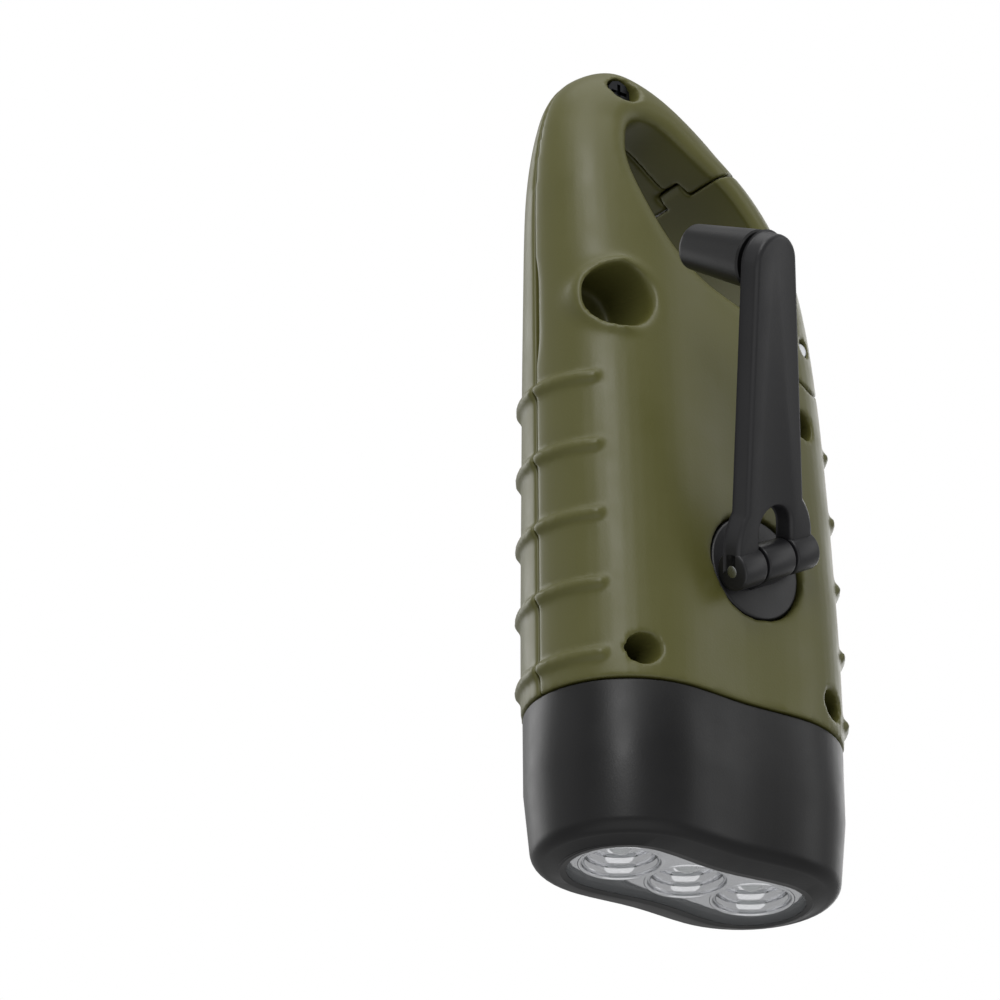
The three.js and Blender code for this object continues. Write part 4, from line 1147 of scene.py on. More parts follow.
@dataclass
class Casing:
    """Olive casing: two halves and the gate, moulded from one outer form."""

    form: BodyForm = field(default_factory=BodyForm)
    gate: GateForm = field(default_factory=GateForm)
    voxel: float = 0.46
    gate_voxel: float = 0.3
    rounds: int = 4
    rib_count: int = 5
    lowest_rib: float = 27.6
    rib_pitch: float = 11.2
    rib_half: float = 1.0
    rib_tip_x: float = 21.6
    rib_rise: float = 0.12
    rib_sink: float = 0.22
    rib_steps: int = 40
    rib_sides: int = 14
    screw_places: Sequence[Flat] = ((-17.4, 28.4), (17.4, 28.4), (-14.0, 73.4), (14.2, 124.1))
    counterbore: float = 2.4
    screw_seat: float = 3.7
    screw_bore: float = 1.25
    screw_end: float = -8.8
    boss: float = 3.3
    front_boss: float = 2.7
    pocket_wall: float = 2.0
    pocket_floor: float = 1.9
    pocket_gap: float = 0.25
    pocket_seat: float = 0.3
    hub_recess: float = 8.3
    hub_floor: float = 11.9
    hub_wall: float = 1.6
    shaft_bore: float = 2.95
    socket_radius: float = 5.1
    socket_wall: float = 0.95
    socket_top: float = 12.4
    socket_floor: float = 1.2
    socket_arm: float = 45.3
    socket_slope: float = 0.75
    socket_flare: float = 0.6
    # Easing of the socket's rim: distances from its axis where it starts and is whole
    ease_reach: Flat = (11.5, 8.5)
    ease_depth: float = 11.0
    ease_rounds: int = 40
    lip_share: float = 0.6
    button_z: float = 34.2
    button_y: float = -1.3
    button_hole: float = 2.85

    def __post_init__(self) -> None:
        """Works out where the crank stands and where its knob goes."""
        hub = joint_place("crank_spin")
        turn = math.radians(STORED_ANGLE)
        self.hub_x, self.hub_z = hub.x, hub.z
        self.socket_x = hub.x + self.socket_arm * math.sin(turn)
        self.socket_z = hub.z + self.socket_arm * math.cos(turn)

    def rib(self, side: int, z: float, low_y: float, high_y: float) -> bmesh.types.BMesh:
        """Grip rib round one flank, cut to one half of the casing.

        Args:
            side: 1 on the spine and -1 on the gate's side.
            z: its height.
            low_y: where it starts in depth.
            high_y: where it ends in depth.

        Returns:
            The closed rib.
        """
        _, left, right, depth = self.form.row_at(z)
        middle = (left + right) / 2
        span = (right - left) / 2
        flat = span - self.form.reach
        half_angle = math.acos((self.rib_tip_x - abs(middle) * side - flat) / self.form.reach)
        crest = self.rib_half + self.rib_rise
        rings = []
        for share in steps(self.rib_steps):
            angle = mix(-half_angle, half_angle, share)
            at = Vector((middle + side * (flat + self.form.reach * math.cos(angle)), depth * math.sin(angle)))
            out = Vector((side * math.cos(angle) * depth, math.sin(angle) * self.form.reach)).normalized()
            end = min(share, 1 - share) * 2 * half_angle * self.form.reach
            swell = math.sqrt(max(1 - (1 - min(end / self.rib_half, 1)) ** 2, 0.002))
            ring = []
            for turn in steps(self.rib_sides)[:-1]:
                lift = crest * swell * math.cos(2 * math.pi * turn) - self.rib_sink
                rise = self.rib_half * swell * math.sin(2 * math.pi * turn)
                ring.append(place(at.x + out.x * lift, at.y + out.y * lift, z + rise))
            rings.append(ring)
        shape = loft(rings)
        for y, sign in ((low_y, -1), (high_y, 1)):
            cut = bmesh.ops.bisect_plane(
                shape,
                geom=shape.verts[:] + shape.edges[:] + shape.faces[:],
                plane_co=place(0, y, 0),
                plane_no=(0, sign, 0),
                clear_outer=True,
            )
            edges = [item for item in cut["geom_cut"] if isinstance(item, bmesh.types.BMEdge)]
            if edges:
                bmesh.ops.edgeloop_fill(shape, edges=edges)
        return shape

    def ribs(self, low_y: float, high_y: float) -> List[bmesh.types.BMesh]:
        """All ribs of one half of the casing."""
        heights = [self.lowest_rib + k * self.rib_pitch for k in range(self.rib_count)]
        return [self.rib(side, z, low_y, high_y) for side in (-1, 1) for z in heights]

    def room(self, *kept: bmesh.types.BMesh) -> bmesh.types.BMesh:
        """Cavity with walls kept round the opening and the gate.

        Args:
            kept: more that isn't hollowed, such as bosses.

        Returns:
            The closed room.
        """
        cavity = as_object(self.form.cavity(), "cavity")
        carve(cavity, Cut.TAKE, prism(self.form.outline(self.form.wall), -FAR, FAR))
        carve(cavity, Cut.TAKE, self.gate.region(self.gate.gap + self.form.wall), *kept)
        return take_object(cavity)

    def half(self, blank: bpy.types.Object, low_y: float, high_y: float) -> bpy.types.Object:
        """Blank cut to one side of the seam.

        Args:
            blank: the whole body, which is kept.
            low_y: where the half starts in depth.
            high_y: where it ends.

        Returns:
            The half.
        """
        return carve(copy_of(blank), Cut.KEEP, box((-FAR, low_y, 0), (FAR, high_y, HIGH)))

    def build(self, panel: "SolarPanel") -> None:
        """Builds both halves and the gate.

        Args:
            panel: the solar panel, whose outline the front's pocket follows.
        """
        blank = carve(as_object(self.form.outer(), "blank"), Cut.TAKE, self.form.opening_cutter())
        self.build_gate(blank)
        self.build_front(blank, panel)
        self.build_rear(blank)
        discard(blank)

    def build_gate(self, blank: bpy.types.Object) -> None:
        """Gate: the limb from the knuckle to the catch.

        Args:
            blank: the whole body, which is kept.
        """
        gate = self.gate
        arm = carve(copy_of(blank), Cut.KEEP, gate.region(0))
        carve(arm, Cut.TAKE, *gate.slot(), bar(gate.pin_bore, -FAR, FAR, gate.pivot_x, gate.pivot_z))
        nose = take_object(carve(copy_of(blank), Cut.KEEP, gate.catch(0, 0)))
        arm = as_object(merged(take_object(arm), nose), "carabiner_gate_skin")
        soften(arm, self.gate_voxel, self.rounds)
        finish_piece(arm, OLIVE_ABS, "gate", "carabiner_gate")

    def build_front(self, blank: bpy.types.Object, panel: "SolarPanel") -> None:
        """Front half, with the pocket of the solar panel.

        Args:
            blank: the whole body, which is kept.
            panel: the solar panel.
        """
        form, gate = self.form, self.gate
        edge = form.seam_y - form.seam_gap / 2
        kept = [bar(self.front_boss, -FAR, edge, x, z, 24) for x, z in self.screw_places]
        kept.append(prism(panel.outline(-self.pocket_wall), -FAR, panel.seat_y + self.pocket_floor))
        pocket = prism(panel.outline(-self.pocket_gap), -FAR, panel.seat_y + self.pocket_seat)
        bores = [bar(self.screw_bore, self.screw_end, edge + 1, x, z, 24) for x, z in self.screw_places[:3]]
        shell = self.half(blank, -FAR, edge)
        carve(shell, Cut.TAKE, self.room(*kept), gate.region(gate.gap))
        carve(shell, Cut.TAKE, gate.catch(gate.gap, gate.catch_angle))
        carve(shell, Cut.TAKE, pocket, self.button_room(), *bores)
        joined = merged(take_object(shell), *self.ribs(-FAR, edge))
        shell = soften(as_object(joined, "front_shell_skin"), self.voxel, self.rounds)
        finish_piece(shell, OLIVE_ABS, "casing", "front_shell")

    def build_rear(self, blank: bpy.types.Object) -> None:
        """Rear half, with the crank's recess, the knob's socket and the screw holes.

        Args:
            blank: the whole body, which is kept.
        """
        form, gate = self.form, self.gate
        edge = form.seam_y + form.seam_gap / 2
        hub = (self.hub_x, self.hub_z)
        socket = (self.socket_x, self.socket_z)
        tube = self.socket_radius + self.socket_wall
        kept = [bar(self.boss, edge, FAR, x, z, 32) for x, z in self.screw_places]
        kept.append(bar(self.hub_recess + form.wall, self.hub_floor - self.hub_wall, FAR, *hub))
        kept.append(bar(tube, self.socket_floor - form.wall, FAR, *socket))
        shell = self.half(blank, edge, FAR)
        carve(shell, Cut.TAKE, self.room(*kept), gate.region(gate.gap))
        carve(shell, Cut.TAKE, gate.catch(gate.gap, gate.catch_angle), self.button_room())
        carve(shell, Cut.TAKE, bar(self.hub_recess, self.hub_floor, FAR, *hub, 96))
        carve(shell, Cut.TAKE, bar(self.shaft_bore, -FAR, FAR, *hub))
        carve(shell, Cut.TAKE, bar(self.socket_radius, self.socket_floor, FAR, *socket, 96))
        for x, z in self.screw_places:
            carve(shell, Cut.TAKE, bar(self.counterbore, self.screw_seat, FAR, x, z))
            carve(shell, Cut.TAKE, bar(self.screw_bore, -FAR, FAR, x, z, 24))
        joined = merged(take_object(shell), self.mound(), gate.tongue_shape(), *self.ribs(edge, FAR))
        shell = soften(as_object(joined, "rear_shell_skin"), self.voxel, self.rounds)
        ease_where(shell, self.mound_share, self.ease_rounds)
        finish_piece(shell, OLIVE_ABS, "casing", "rear_shell")

    def button_room(self) -> bmesh.types.BMesh:
        """Hole of the power button through the flank."""
        return cross_bar(self.button_hole, -FAR, -20, self.button_y, self.button_z)

    def mound(self) -> bmesh.types.BMesh:
        """Raised rim of the knob's socket, as a tube that stands in the flank.

        Returns:
            The closed tube.
        """
        x, z = self.socket_x, self.socket_z
        outer = self.socket_radius + self.socket_wall
        foot = outer + self.socket_flare
        tube = as_object(bar(foot, self.socket_floor, self.socket_top, x, z, 96, outer), "mound")
        carve(tube, Cut.TAKE, bar(self.socket_radius, -FAR, FAR, x, z, 96))
        low = self.socket_top - FAR * self.socket_slope
        outer_side = [(x, self.socket_top), (x + FAR, low), (x + FAR, FAR), (x, FAR)]
        rings = [[place(*corner, height) for corner in outer_side] for height in (0, HIGH)]
        return take_object(carve(tube, Cut.TAKE, loft(rings)))

    def mound_share(self, point: Vector) -> float:
        """Share of easing round the foot of the socket's rim, and less at its lip.

        Args:
            point: a point of the rear half, in metres.

        Returns:
            The share, from 0 to 1.
        """
        across = point.x / MM - self.socket_x
        away = math.hypot(across, point.z / MM - self.socket_z)
        outside = away - self.socket_radius
        lip = self.socket_top - max(across, 0) * self.socket_slope
        below = lip - (point.y - AXIS_Y) / MM
        if below >= self.ease_depth:
            return 0
        foot = rising(outside, 0.5, 1.1) * rising(away, *self.ease_reach) * rising(below, 0.5, 1.7)
        at_lip = -0.5 < outside < 2 and below < 2
        return max(foot, self.lip_share if at_lip else 0)


@dataclass
class SolarPanel:
    """Black frame and brown cell in the front."""

    half_width: float = 16.2
    bottom: float = 27.6
    side_height: float = 43.4
    arch: float = 3.2
    corner: float = 3.4
    face_y: float = -15.6
    seat_y: float = -12.4
    border: float = 1.6
    slope: float = 2.3
    cell_half: float = 10.2
    cell_bottom: float = 35.0
    cell_top: float = 68.4
    cell_depth: float = 1.5
    cell_overlap: float = 0.7
    cell_round: float = 1.9
    window_round: float = 2.4
    tight_corner: float = 0.5

    def outline(self, inset: float) -> List[Flat]:
        """Frame's outline: straight sides, round corners and an arched top.

        Args:
            inset: how far it is drawn in; below zero it grows.

        Returns:
            Its points, all the same way round.
        """
        side = self.half_width - inset
        low = self.bottom + inset
        high = self.bottom + self.side_height - inset
        corner = max(self.corner - inset / 2, 0.8)
        spring = high + self.arch / 4
        points: List[Flat] = []
        stretches = (
            ((side - corner, low), (side, low), (side, low + corner), 8),
            ((side, high - corner), (side, high), (side - corner, spring), 8),
            ((side - corner, spring), (0, high + self.arch * 1.75), (corner - side, spring), 24),
            ((corner - side, spring), (-side, high), (-side, high - corner), 8),
            ((-side, low + corner), (-side, low), (corner - side, low), 8),
        )
        for start, pull, end, count in stretches:
            for share in steps(count):
                points.append(tuple(pulled(*three, share) for three in zip(start, pull, end)))
        kept = [points[0]]
        for point in points[1:]:
            if math.dist(point, kept[-1]) > 0.01:
                kept.append(point)
        return kept

    def window(self, grow: float, round_by: float) -> List[Flat]:
        """Window over the cell, with two opposite corners rounded more.

        Args:
            grow: how far it reaches past the cell's sides.
            round_by: radius of the rounder corners.

        Returns:
            Its points.
        """
        side = self.cell_half + grow
        low, high = self.cell_bottom - grow, self.cell_top + grow
        corners = (
            (side, low, round_by),
            (side, high, self.tight_corner),
            (-side, high, round_by),
            (-side, low, self.tight_corner),
        )
        points = []
        for quarter, (x, z, radius) in enumerate(corners):
            cx = x - math.copysign(radius, x)
            cz = z - radius if quarter in (1, 2) else z + radius
            for share in steps(6):
                angle = (quarter - 1) * math.pi / 2 + share * math.pi / 2
                points.append((cx + radius * math.cos(angle), cz + radius * math.sin(angle)))
        return points

    def build(self) -> None:
        """Builds the frame and the cell."""
        face, border, slope = self.face_y, self.border, self.slope
        # Depth and inset of the frame's rings, from its seat out to its crest
        profile = (
            (self.seat_y, 0.0),
            (face + 1.35, 0.0),
            (face + 1.1, 0.25),
            (face + 1.0, border),
            (face + 0.1, border + slope * 0.55),
            (face, border + slope * 0.7),
        )
        rings = [[place(x, y, z) for x, z in self.outline(inset)] for y, inset in profile]
        frame_body = as_object(loft(rings), "solar_bezel_skin")
        # Depth of the window's rings, and how far they reach past the cell's sides
        under = 0.2 - self.cell_overlap
        window = (
            (face - 1, 1.6),
            (face + 0.02, 1.25),
            (face + 0.35, 0.7),
            (face + self.cell_depth - 0.5, under),
            (self.seat_y + 1, under),
        )
        wide = self.window_round
        rings = [[place(x, y, z) for x, z in self.window(grow, wide + grow)] for y, grow in window]
        carve(frame_body, Cut.TAKE, loft(rings))
        shade(frame_body, 24)
        finish_piece(frame_body, GLOSS_BLACK, "casing", "solar_bezel")
        film = prism(self.window(0, self.cell_round), face + self.cell_depth, self.seat_y)
        round_edges(film, sharp_edges(film, 70), 0.08, 1)
        piece(film, "solar_cell", CELL_BROWN, "casing")


@dataclass
class LampHead:
    """Black head with its clear cover, its reflector and three lamps."""

    half_width: float = 26.0
    half_depth: float = 15.4
    reach: float = 16.2
    top: float = 23.6
    inset: float = 0.25
    edge: float = 2.0
    edge_rise: float = 0.8
    taper: float = 1.1
    taper_height: float = 12.0
    rim_waist: float = 0.6
    face_waist: float = 0.5
    lamp_waist: float = 1.0
    dish: Flat = (20.4, 9.3)
    aperture: Flat = (19.8, 8.3)
    well_margin: float = 1.2
    seat: float = 0.1
    cover_gap: float = 0.05
    cover_thickness: float = 0.55
    cup_mouth: float = 6.1
    cup_throat: float = 2.7
    cup_height: float = 5.6
    scallops: int = 4
    scallop: float = 0.22
    pitch: float = 12.0
    lamp_radius: float = 2.3
    lamp_barrel: float = 3.2

    def outer_ring(self, z: float, inset: float) -> List[Vector]:
        """Section of the head.

        Args:
            z: its height.
            inset: how far it is drawn in.

        Returns:
            The ring's points.
        """
        waist = mix(self.rim_waist, self.face_waist, z / self.top)
        width = self.half_width - inset
        return section(-width, width, self.half_depth - inset, self.reach - inset, waist, z)

    def peanut(self, half: Flat, z: float) -> List[Vector]:
        """Section of what lies in the mouth, with round ends and a waist.

        Args:
            half: its half width and half depth.
            z: its height.

        Returns:
            The ring's points.
        """
        return section(-half[0], half[0], half[1], half[1], self.lamp_waist, z)

    def grown(self, amount: float) -> Flat:
        """Aperture's size, grown by an amount."""
        return self.aperture[0] + amount, self.aperture[1] + amount

    def build(self) -> None:
        """Builds the head and all that lies in its mouth."""
        self.build_head()
        self.build_cover()
        self.build_reflector()
        self.build_lamps()

    def build_head(self) -> None:
        """Sleeve of the head: outside, rim, dish, seat and the walls inside."""
        rings = []
        for share in steps(10):
            angle = share * math.pi / 2
            z = self.edge_rise + self.edge * (1 - math.cos(angle))
            taper = self.taper * (1 - z / self.taper_height)
            rings.append(self.outer_ring(z, self.inset + taper + self.edge * (1 - math.sin(angle))))
        for z in (7.5, self.taper_height, self.top - 0.4):
            rings.append(self.outer_ring(z, self.inset + self.taper * max(1 - z / self.taper_height, 0)))
        rings.append(self.outer_ring(self.top - 0.1, self.inset + 0.12))
        rings.append(self.outer_ring(self.top, self.inset + 0.4))
        for z in (self.top, self.taper_height):
            rings.append(self.outer_ring(z, self.inset + 2))
        well = self.grown(self.well_margin)
        rim = (self.dish[0] + 0.2, self.dish[1] + 0.2)
        mouth = (
            (well, self.taper_height),
            (well, self.seat),
            (self.aperture, self.seat),
            (self.dish, 0.03),
            (rim, 0.0),
        )
        rings.extend(self.peanut(half, z) for half, z in mouth)
        piece(loft(rings, joined=True), "head_shroud", BLACK_ABS, "casing", 28)

    def build_cover(self) -> None:
        """Clear cover with a fine bevel."""
        low = self.seat + self.cover_gap
        high = low + self.cover_thickness
        rows = ((low, 0.75), (low + 0.15, 0.9), (high - 0.15, 0.9), (high, 0.75))
        rings = [self.peanut(self.grown(amount), z) for z, amount in rows]
        piece(loft(rings), "lens", CLEAR_ACRYLIC, "casing")

    def lamp_x(self, index: int) -> float:
        """Place of a lamp across the head."""
        return (index - 1) * self.pitch

    def stood(self, profile: Sequence[Flat], x: float) -> bmesh.types.BMesh:
        """Turned piece stood along Z.

        Args:
            profile: its radius and height, from the axis and back to it.
            x: its place across the head.

        Returns:
            The closed piece.
        """
        upright = Matrix.Translation(place(x, 0, 0)) @ Matrix.Rotation(math.pi / 2, 4, "X")
        return moved(turned(profile, 72), upright)

    def build_reflector(self) -> None:
        """Bright plate with three cups, each with a raised lip."""
        low = self.seat + self.cover_gap + self.cover_thickness + 0.25
        high = low + self.cup_height
        mouth = self.cup_mouth - 0.25
        rows = ((low, -0.6), (low + 0.2, -0.3), (high, -0.3))
        rings = [self.peanut(self.grown(amount), z) for z, amount in rows]
        plate = as_object(loft(rings), "plate")
        cup = [(0, low - 3), (mouth, low - 3)]
        for share in steps(40):
            radius = mix(self.cup_throat, mouth, math.sqrt(1 - share))
            scallop = self.scallop * abs(math.sin(math.pi * share * self.scallops))
            cup.append((radius + scallop, low + share * self.cup_height))
        cup.extend([(self.cup_throat, high + 3), (0, high + 3)])
        lip = []
        for share in steps(12):
            angle = share * 2 * math.pi
            lip.append((self.cup_mouth - 0.1 + 0.3 * math.cos(angle), low + 0.1 + 0.28 * math.sin(angle)))
        for index in range(3):
            carve(plate, Cut.TAKE, self.stood(cup, self.lamp_x(index)))
        lips = [self.stood(lip, self.lamp_x(index)) for index in range(3)]
        piece(merged(take_object(plate), *lips), "reflector", CHROME_PLATE, "casing", 35)

    def build_lamps(self) -> None:
        """Three domed lamps on short barrels."""
        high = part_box("led_left")[1].z / MM
        radius = self.lamp_radius
        shoulder = high - self.lamp_barrel
        profile = [(0.0, high), (radius, high), (radius, high - 0.8), (radius - 0.15, high - 0.9)]
        for share in steps(14):
            angle = share * math.pi / 2
            profile.append(((radius - 0.15) * math.cos(angle), shoulder - (radius - 0.05) * math.sin(angle)))
        for index, name in enumerate(("led_left", "led_middle", "led_right")):
            piece(self.stood(profile, self.lamp_x(index)), name, LAMP_EPOXY, "casing")


@dataclass
class Crank:
    """Hub, folding arm and knob, drawn with the stored arm along +Z and then turned."""

    rest_fold: float = 32.0
    face_y: float = 14.3
    hub_radius: float = 8.0
    hub_thickness: float = 2.1
    shaft_radius: float = 1.9
    shaft_low: float = 8.2
    knuckle: float = 2.9
    centre_width: float = 5.6
    half_length: float = 8.0
    arm_radius: float = 44.5
    thickness: float = 2.8
    root_half: float = 6.1
    tip_radius: float = 4.3
    notch_top: float = 8.4
    notch_gap: float = 0.5
    shoulder: float = 3.0
    bevel: float = 0.75
    pin_radius: float = 1.0
    pin_proud: float = 0.04
    knob_gap: float = 0.3
    knob_length: float = 13.6
    knob_root: float = 4.45
    knob_tip: float = 3.4
    knob_collar: float = 3.4
    collar_height: float = 0.9
    knob_fillet: float = 0.9
    recess_radius: float = 2.3
    recess_depth: float = 1.7

    def __post_init__(self) -> None:
        """Reads the hub's and the hinge's places from the joints."""
        hub = joint_place("crank_spin")
        hinge = joint_place("crank_fold")
        self.hinge_y = hinge.y
        turn = Matrix.Rotation(math.radians(STORED_ANGLE), 4, "Y")
        self.at_hub = Matrix.Translation(place(hub.x, 0, hub.z)) @ turn
        fold = Matrix.Rotation(math.radians(-self.rest_fold), 4, "X")
        self.at_arm = self.at_hub @ Matrix.Translation((0, self.hinge_y * MM, 0)) @ fold

    @staticmethod
    def local(shape: bmesh.types.BMesh) -> bmesh.types.BMesh:
        """Shape drawn from the body's axis, brought to the row's origin."""
        return moved(shape, Matrix.Translation((0, -AXIS_Y, 0)))

    def build(self) -> None:
        """Builds the hub, the arm with its pin, and the knob."""
        self.build_hub()
        self.build_arm()
        self.build_knob()

    def build_hub(self) -> None:
        """Disc with a rounded rim and the hinge's centre knuckle."""
        half = self.centre_width / 2
        seat = self.face_y - self.hub_thickness
        disc = self.local(bar(self.hub_radius, seat, self.face_y, 0, 0, 96))
        round_edges(disc, sharp_edges(disc), 0.45, 3)
        shaft = self.local(bar(self.shaft_radius, self.shaft_low, seat + 0.5, 0, 0))
        knuckle = self.local(cross_bar(self.knuckle, -half, half, self.hinge_y, 0, 64))
        round_edges(knuckle, sharp_edges(knuckle), 0.3, 3)
        foot = self.local(box((-half, seat + 0.5, -self.knuckle), (half, self.hinge_y, self.knuckle)))
        round_edges(foot, sharp_edges(foot), 0.3, 3)
        piece(moved(merged(disc, shaft, knuckle, foot), self.at_hub), "crank_hub", CRANK_ABS_PAINTED_LIGHT, "crank")

    def arm_outline(self) -> List[Flat]:
        """Arm seen from outside: forked root, round shoulders, straight taper and round tip.

        Returns:
            Its points, in millimetres from the hinge's axis.
        """
        notch = self.centre_width / 2 + self.notch_gap
        mid = (self.shoulder + self.notch_top) / 2
        side = -self.half_length
        left: List[Flat] = [(side, 0), (side, self.shoulder)]
        for share in steps(8)[1:]:
            x = pulled(side, side, -self.root_half, share)
            left.append((x, pulled(self.shoulder, mid, self.notch_top, share)))
        tip = [(-x, self.arm_radius + z) for x, z in half_round(self.tip_radius, 24)]
        right = [(-x, z) for x, z in reversed(left)]
        crotch = [(x, self.notch_top - notch + z) for x, z in half_round(notch, 20)]
        return [*left, *tip, *right, (notch, 0), *crotch, (-notch, 0)]

    def build_arm(self) -> None:
        """Arm plate with bevelled faces, its two knuckles and the pin through them."""
        half = self.thickness / 2
        plate = self.local(prism(self.arm_outline(), -half, half))
        outer = [edge for edge in plate.edges if all(vertex.co.y > half * MM * 0.9 for vertex in edge.verts)]
        inner = [edge for edge in plate.edges if all(vertex.co.y < -half * MM * 0.9 for vertex in edge.verts)]
        round_edges(plate, outer, self.bevel, 3)
        round_edges(plate, [edge for edge in inner if edge.is_valid], 0.35, 2)
        notch = self.centre_width / 2 + self.notch_gap
        parts = [plate]
        for start, end in ((-self.half_length, -notch), (notch, self.half_length)):
            knuckle = self.local(cross_bar(self.knuckle, start, end, 0, 0, 64))
            round_edges(knuckle, sharp_edges(knuckle), 0.35, 3)
            parts.append(knuckle)
        piece(moved(merged(*parts), self.at_arm), "crank_arm", CRANK_ABS_PAINTED_LIGHT, "arm")
        end = self.half_length + self.pin_proud
        pin = self.local(cross_bar(self.pin_radius, -end, end, 0, 0, 40))
        round_edges(pin, sharp_edges(pin), 0.2, 2)
        piece(moved(pin, self.at_arm), "crank_hinge_pin", STEEL, "arm")

    def build_knob(self) -> None:
        """Tapered knob with its collar, round end and screw recess."""
        root = -self.thickness / 2 - self.knob_gap
        tip = root - self.knob_length
        collar = root - self.collar_height
        floor = tip + self.recess_depth
        mouth = self.recess_radius
        profile: List[Flat] = [(0, floor), (mouth, floor), (mouth, tip + 0.15), (mouth + 0.15, tip)]
        for share in steps(6):
            angle = share * math.pi / 2
            inward = self.knob_fillet * (1 - math.sin(angle))
            profile.append((self.knob_tip - inward, tip + self.knob_fillet * (1 - math.cos(angle))))
        profile.extend([
            (self.knob_root - 0.05, collar - 0.3),
            (self.knob_root - 0.3, collar),
            (self.knob_collar, collar),
            (self.knob_collar, root),
            (0, root),
        ])
        knob = moved(turned(profile, 72), self.at_arm @ Matrix.Translation((0, 0, self.arm_radius * MM)))
        piece(knob, "crank_knob", BLACK_ABS, "knob", 40)


@dataclass
class SmallParts:
    """Button, gate pin and the CAD nodes that keep their own meshes."""

    button_radius: float = 2.6
    button_round: float = 0.6
    flange_radius: float = 3.5
    flange_thickness: float = 0.8
    pin_radius: float = 1.3
    kept: Sequence[Tuple[Finish, Sequence[str]]] = (
        # The screws in the first row are painted near black as the shade in their holes
        (SCREW_STEEL_PAINTED_SHADE, ("case_screw_1", "case_screw_2", "case_screw_3", "case_screw_4", "knob_screw")),
        (ZINC, ("drive_gear_screw", "plate_screw_1", "plate_screw_2", "plate_screw_3", "plate_screw_4")),
        (ZINC, ("board_screw_1", "board_screw_2", "stator")),
        (STEEL, ("gate_spring", "first_axle", "second_axle")),
        (NYLON, ("drive_gear", "first_gear", "second_gear", "rotor_pinion", "switch_plunger")),
        (BLACK_ABS, ("gear_plate", "push_switch")),
        (MAGNET, ("rotor_magnet",)),
        (COPPER, ("coil",)),
        (BOARD, ("circuit_board", "led_board")),
        (SLEEVE, ("battery_pack", "storage_capacitor")),
        (RUBBER, ("lens_gasket",)),
    )

    def build(self, casing: Casing) -> None:
        """Builds the button and the pin, and dresses the rest.

        Args:
            casing: the casing, which holds the button and the gate's pivot.
        """
        low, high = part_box("power_button")
        start, end = low.x / MM, high.x / MM
        middle = (casing.button_y, casing.button_z)
        cap = cross_bar(self.button_radius, start, end, *middle, 64)
        crown = [edge for edge in sharp_edges(cap) if all(v.co.x < low.x + 0.1 * MM for v in edge.verts)]
        round_edges(cap, crown, self.button_round, 5)
        flange = cross_bar(self.flange_radius, end - self.flange_thickness, end, *middle, 64)
        piece(merged(cap, flange), "power_button", BLACK_ABS, "button")
        low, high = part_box("gate_pin")
        ends = [(value - AXIS_Y) / MM for value in (low.y, high.y)]
        pin = bar(self.pin_radius, *ends, casing.gate.pivot_x, casing.gate.pivot_z)
        round_edges(pin, sharp_edges(pin), 0.25, 3)
        piece(pin, "gate_pin", STEEL, "casing")
        for finish, names in self.kept:
            for name in names:
                node = frame["nodes"][name]
                node.data.materials.clear()
                node.data.materials.append(finish.material())


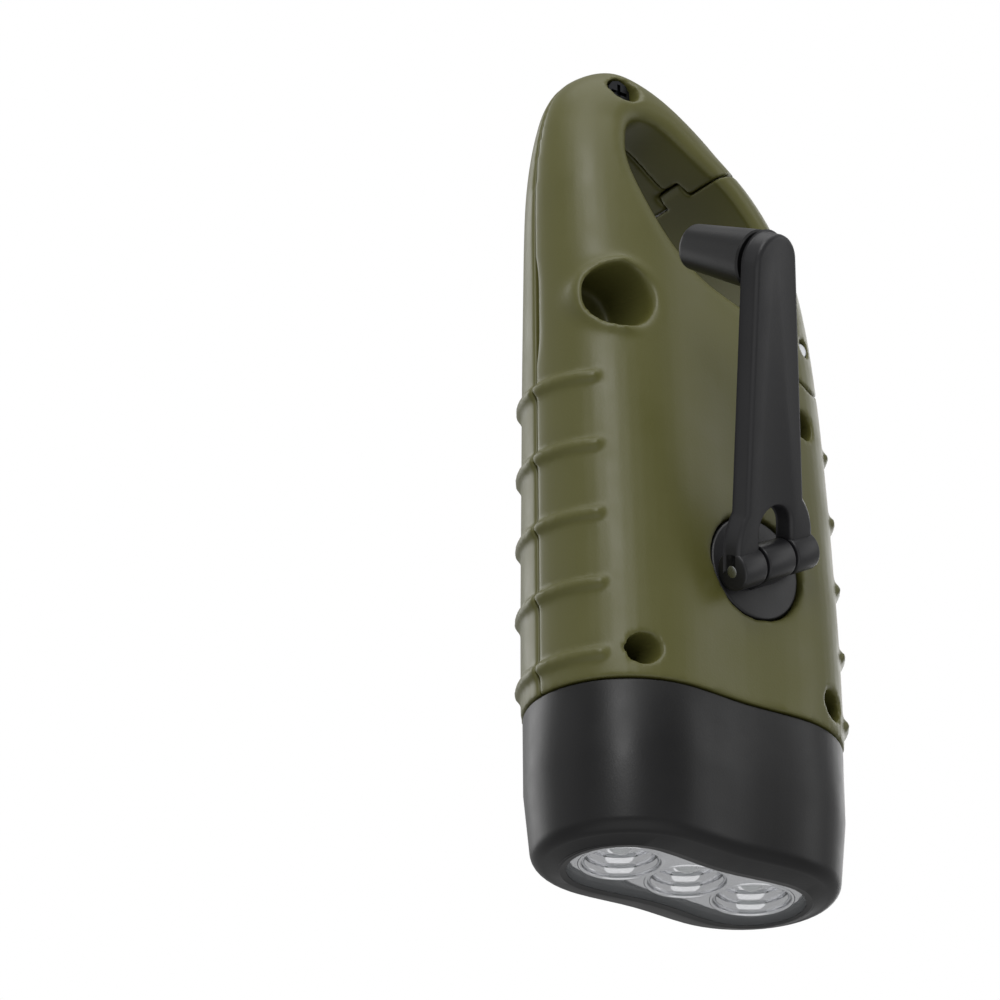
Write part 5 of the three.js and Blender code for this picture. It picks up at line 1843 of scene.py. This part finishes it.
@dataclass
class Studio:
    """Camera, soft lights, pale floor and white surround."""

    azimuth: float = 141.3
    elevation: float = -26.0
    roll: float = 1.27
    distance: float = 0.875
    pixels_per_mm: float = 6.73
    photo_size: float = 1000.0
    centre_px: Flat = (678.3, 486.5)
    target_z: float = 64.2
    floor_half: float = 3.0
    floor_drop: float = 0.0003
    even_light: float = 0.24
    gloss_light: float = 0.5

    def build(self) -> None:
        """Sets up the camera, the lights, the floor and the world."""
        self.add_camera()
        self.add_lights()
        self.add_floor()
        self.add_world()

    @staticmethod
    def direction(azimuth: float, elevation: float) -> Vector:
        """Unit vector from the object towards a viewer."""
        a, e = math.radians(azimuth), math.radians(elevation)
        return Vector((math.sin(a) * math.cos(e), -math.cos(a) * math.cos(e), math.sin(e)))

    def add_camera(self) -> None:
        """Camera at the photographed angle, turned by the picture's slight lean."""
        data = bpy.data.cameras.new("camera")
        camera = bpy.data.objects.new("camera", data)
        bpy.context.scene.collection.objects.link(camera)
        towards = self.direction(self.azimuth, self.elevation)
        camera.location = place(0, 0, self.target_z) + towards * self.distance
        lean = Quaternion((0, 0, 1), math.radians(-self.roll))
        camera.rotation_mode = "QUATERNION"
        camera.rotation_quaternion = towards.to_track_quat("Z", "Y") @ lean
        data.lens = data.sensor_width * self.distance * self.pixels_per_mm / (self.photo_size * MM)
        data.shift_x = (self.photo_size / 2 - self.centre_px[0]) / self.photo_size
        data.shift_y = (self.centre_px[1] - self.photo_size / 2) / self.photo_size
        data.clip_start = 0.01
        data.dof.use_dof = False
        bpy.context.scene.camera = camera

    def add_light(
        self,
        name: str,
        azimuth: float,
        elevation: float,
        size: Flat,
        power: float,
        away: float,
    ) -> None:
        """Soft rectangular light that faces the object.

        Args:
            name: its name.
            azimuth: bearing round the object, in degrees.
            elevation: height over the object, in degrees.
            size: its width and height in metres.
            power: its power in watts.
            away: its distance in metres.
        """
        data = bpy.data.lights.new(name, "AREA")
        data.shape = "RECTANGLE"
        data.size, data.size_y = size
        data.energy = power
        light = bpy.data.objects.new(name, data)
        bpy.context.scene.collection.objects.link(light)
        towards = self.direction(azimuth, elevation)
        light.location = place(0, 0, self.target_z) + towards * away
        light.rotation_mode = "QUATERNION"
        light.rotation_quaternion = towards.to_track_quat("Z", "Y")

    def add_lights(self) -> None:
        """Key by the spine, fills by the gate and in front, and a soft light under the lamps."""
        self.add_light("key_light", 138, 28, (0.14, 0.6), 2.9, 0.8)
        self.add_light("spine_fill", 75, 15, (0.6, 0.9), 0.7, 1.0)
        self.add_light("gate_fill", 228, 14, (0.35, 0.9), 1.5, 0.9)
        self.add_light("front_key", 20, 20, (0.5, 0.8), 3.4, 0.9)
        self.add_light("front_fill", 300, 20, (0.6, 0.6), 2.0, 0.9)
        self.add_light("low_light", 150, -60, (1.1, 1.1), 2.6, 0.9)
        self.add_light("top_light", 150, 75, (0.8, 0.8), 3.4, 0.9)

    def add_floor(self) -> None:
        """Pale floor under the lamp rim, seen from above only."""
        shape = bmesh.new()
        bmesh.ops.create_grid(shape, x_segments=1, y_segments=1, size=self.floor_half)
        floor = as_object(shape, "floor")
        floor.data.transform(Matrix.Translation((0, 0, -self.floor_drop)))
        material = bpy.data.materials.new("studio_floor")
        material.use_nodes = True
        tree = material.node_tree
        tree.nodes.clear()
        paint = add_node(tree, "ShaderNodeBsdfDiffuse", {}, {"Color": linear("#f2f2f0")})
        clear = add_node(tree, "ShaderNodeBsdfTransparent", {}, {})
        facing = add_node(tree, "ShaderNodeNewGeometry", {}, {})
        either = add_node(tree, "ShaderNodeMixShader", {}, {0: facing.outputs["Backfacing"]})
        tree.links.new(paint.outputs[0], either.inputs[1])
        tree.links.new(clear.outputs[0], either.inputs[2])
        add_node(tree, "ShaderNodeOutputMaterial", {}, {"Surface": either.outputs[0]})
        floor.data.materials.append(material)
        floor.visible_diffuse = False
        floor.visible_glossy = False
        floor.visible_transmission = False
        floor.visible_shadow = False

    def add_world(self) -> None:
        """White surround for the camera, for reflections and through glass, and a dim even light."""
        world = bpy.data.worlds.new("surround")
        world.use_nodes = True
        tree = world.node_tree
        tree.nodes.clear()
        path = add_node(tree, "ShaderNodeLightPath", {}, {})
        seen = add_node(tree, "ShaderNodeMath", {"operation": "MAXIMUM"}, {
            0: path.outputs["Is Camera Ray"],
            1: path.outputs["Is Transmission Ray"],
        })
        even, white, gloss = (
            add_node(tree, "ShaderNodeBackground", {}, {"Color": linear("#ffffff"), "Strength": strength})
            for strength in (self.even_light, 1.0, self.gloss_light)
        )
        shiny = add_node(tree, "ShaderNodeMixShader", {}, {0: path.outputs["Is Glossy Ray"]})
        tree.links.new(even.outputs[0], shiny.inputs[1])
        tree.links.new(gloss.outputs[0], shiny.inputs[2])
        either = add_node(tree, "ShaderNodeMixShader", {}, {0: seen.outputs[0]})
        tree.links.new(shiny.outputs[0], either.inputs[1])
        tree.links.new(white.outputs[0], either.inputs[2])
        add_node(tree, "ShaderNodeOutputWorld", {}, {"Surface": either.outputs[0]})
        bpy.context.scene.world = world
        bpy.context.scene.view_settings.view_transform = "Standard"


def main() -> None:
    """Builds the studio and every sub-assembly in order."""
    Studio().build()
    panel = SolarPanel()
    casing = Casing()
    casing.build(panel)
    panel.build()
    LampHead().build()
    Crank().build()
    SmallParts().build(casing)


if __name__ == "__main__":
    main()
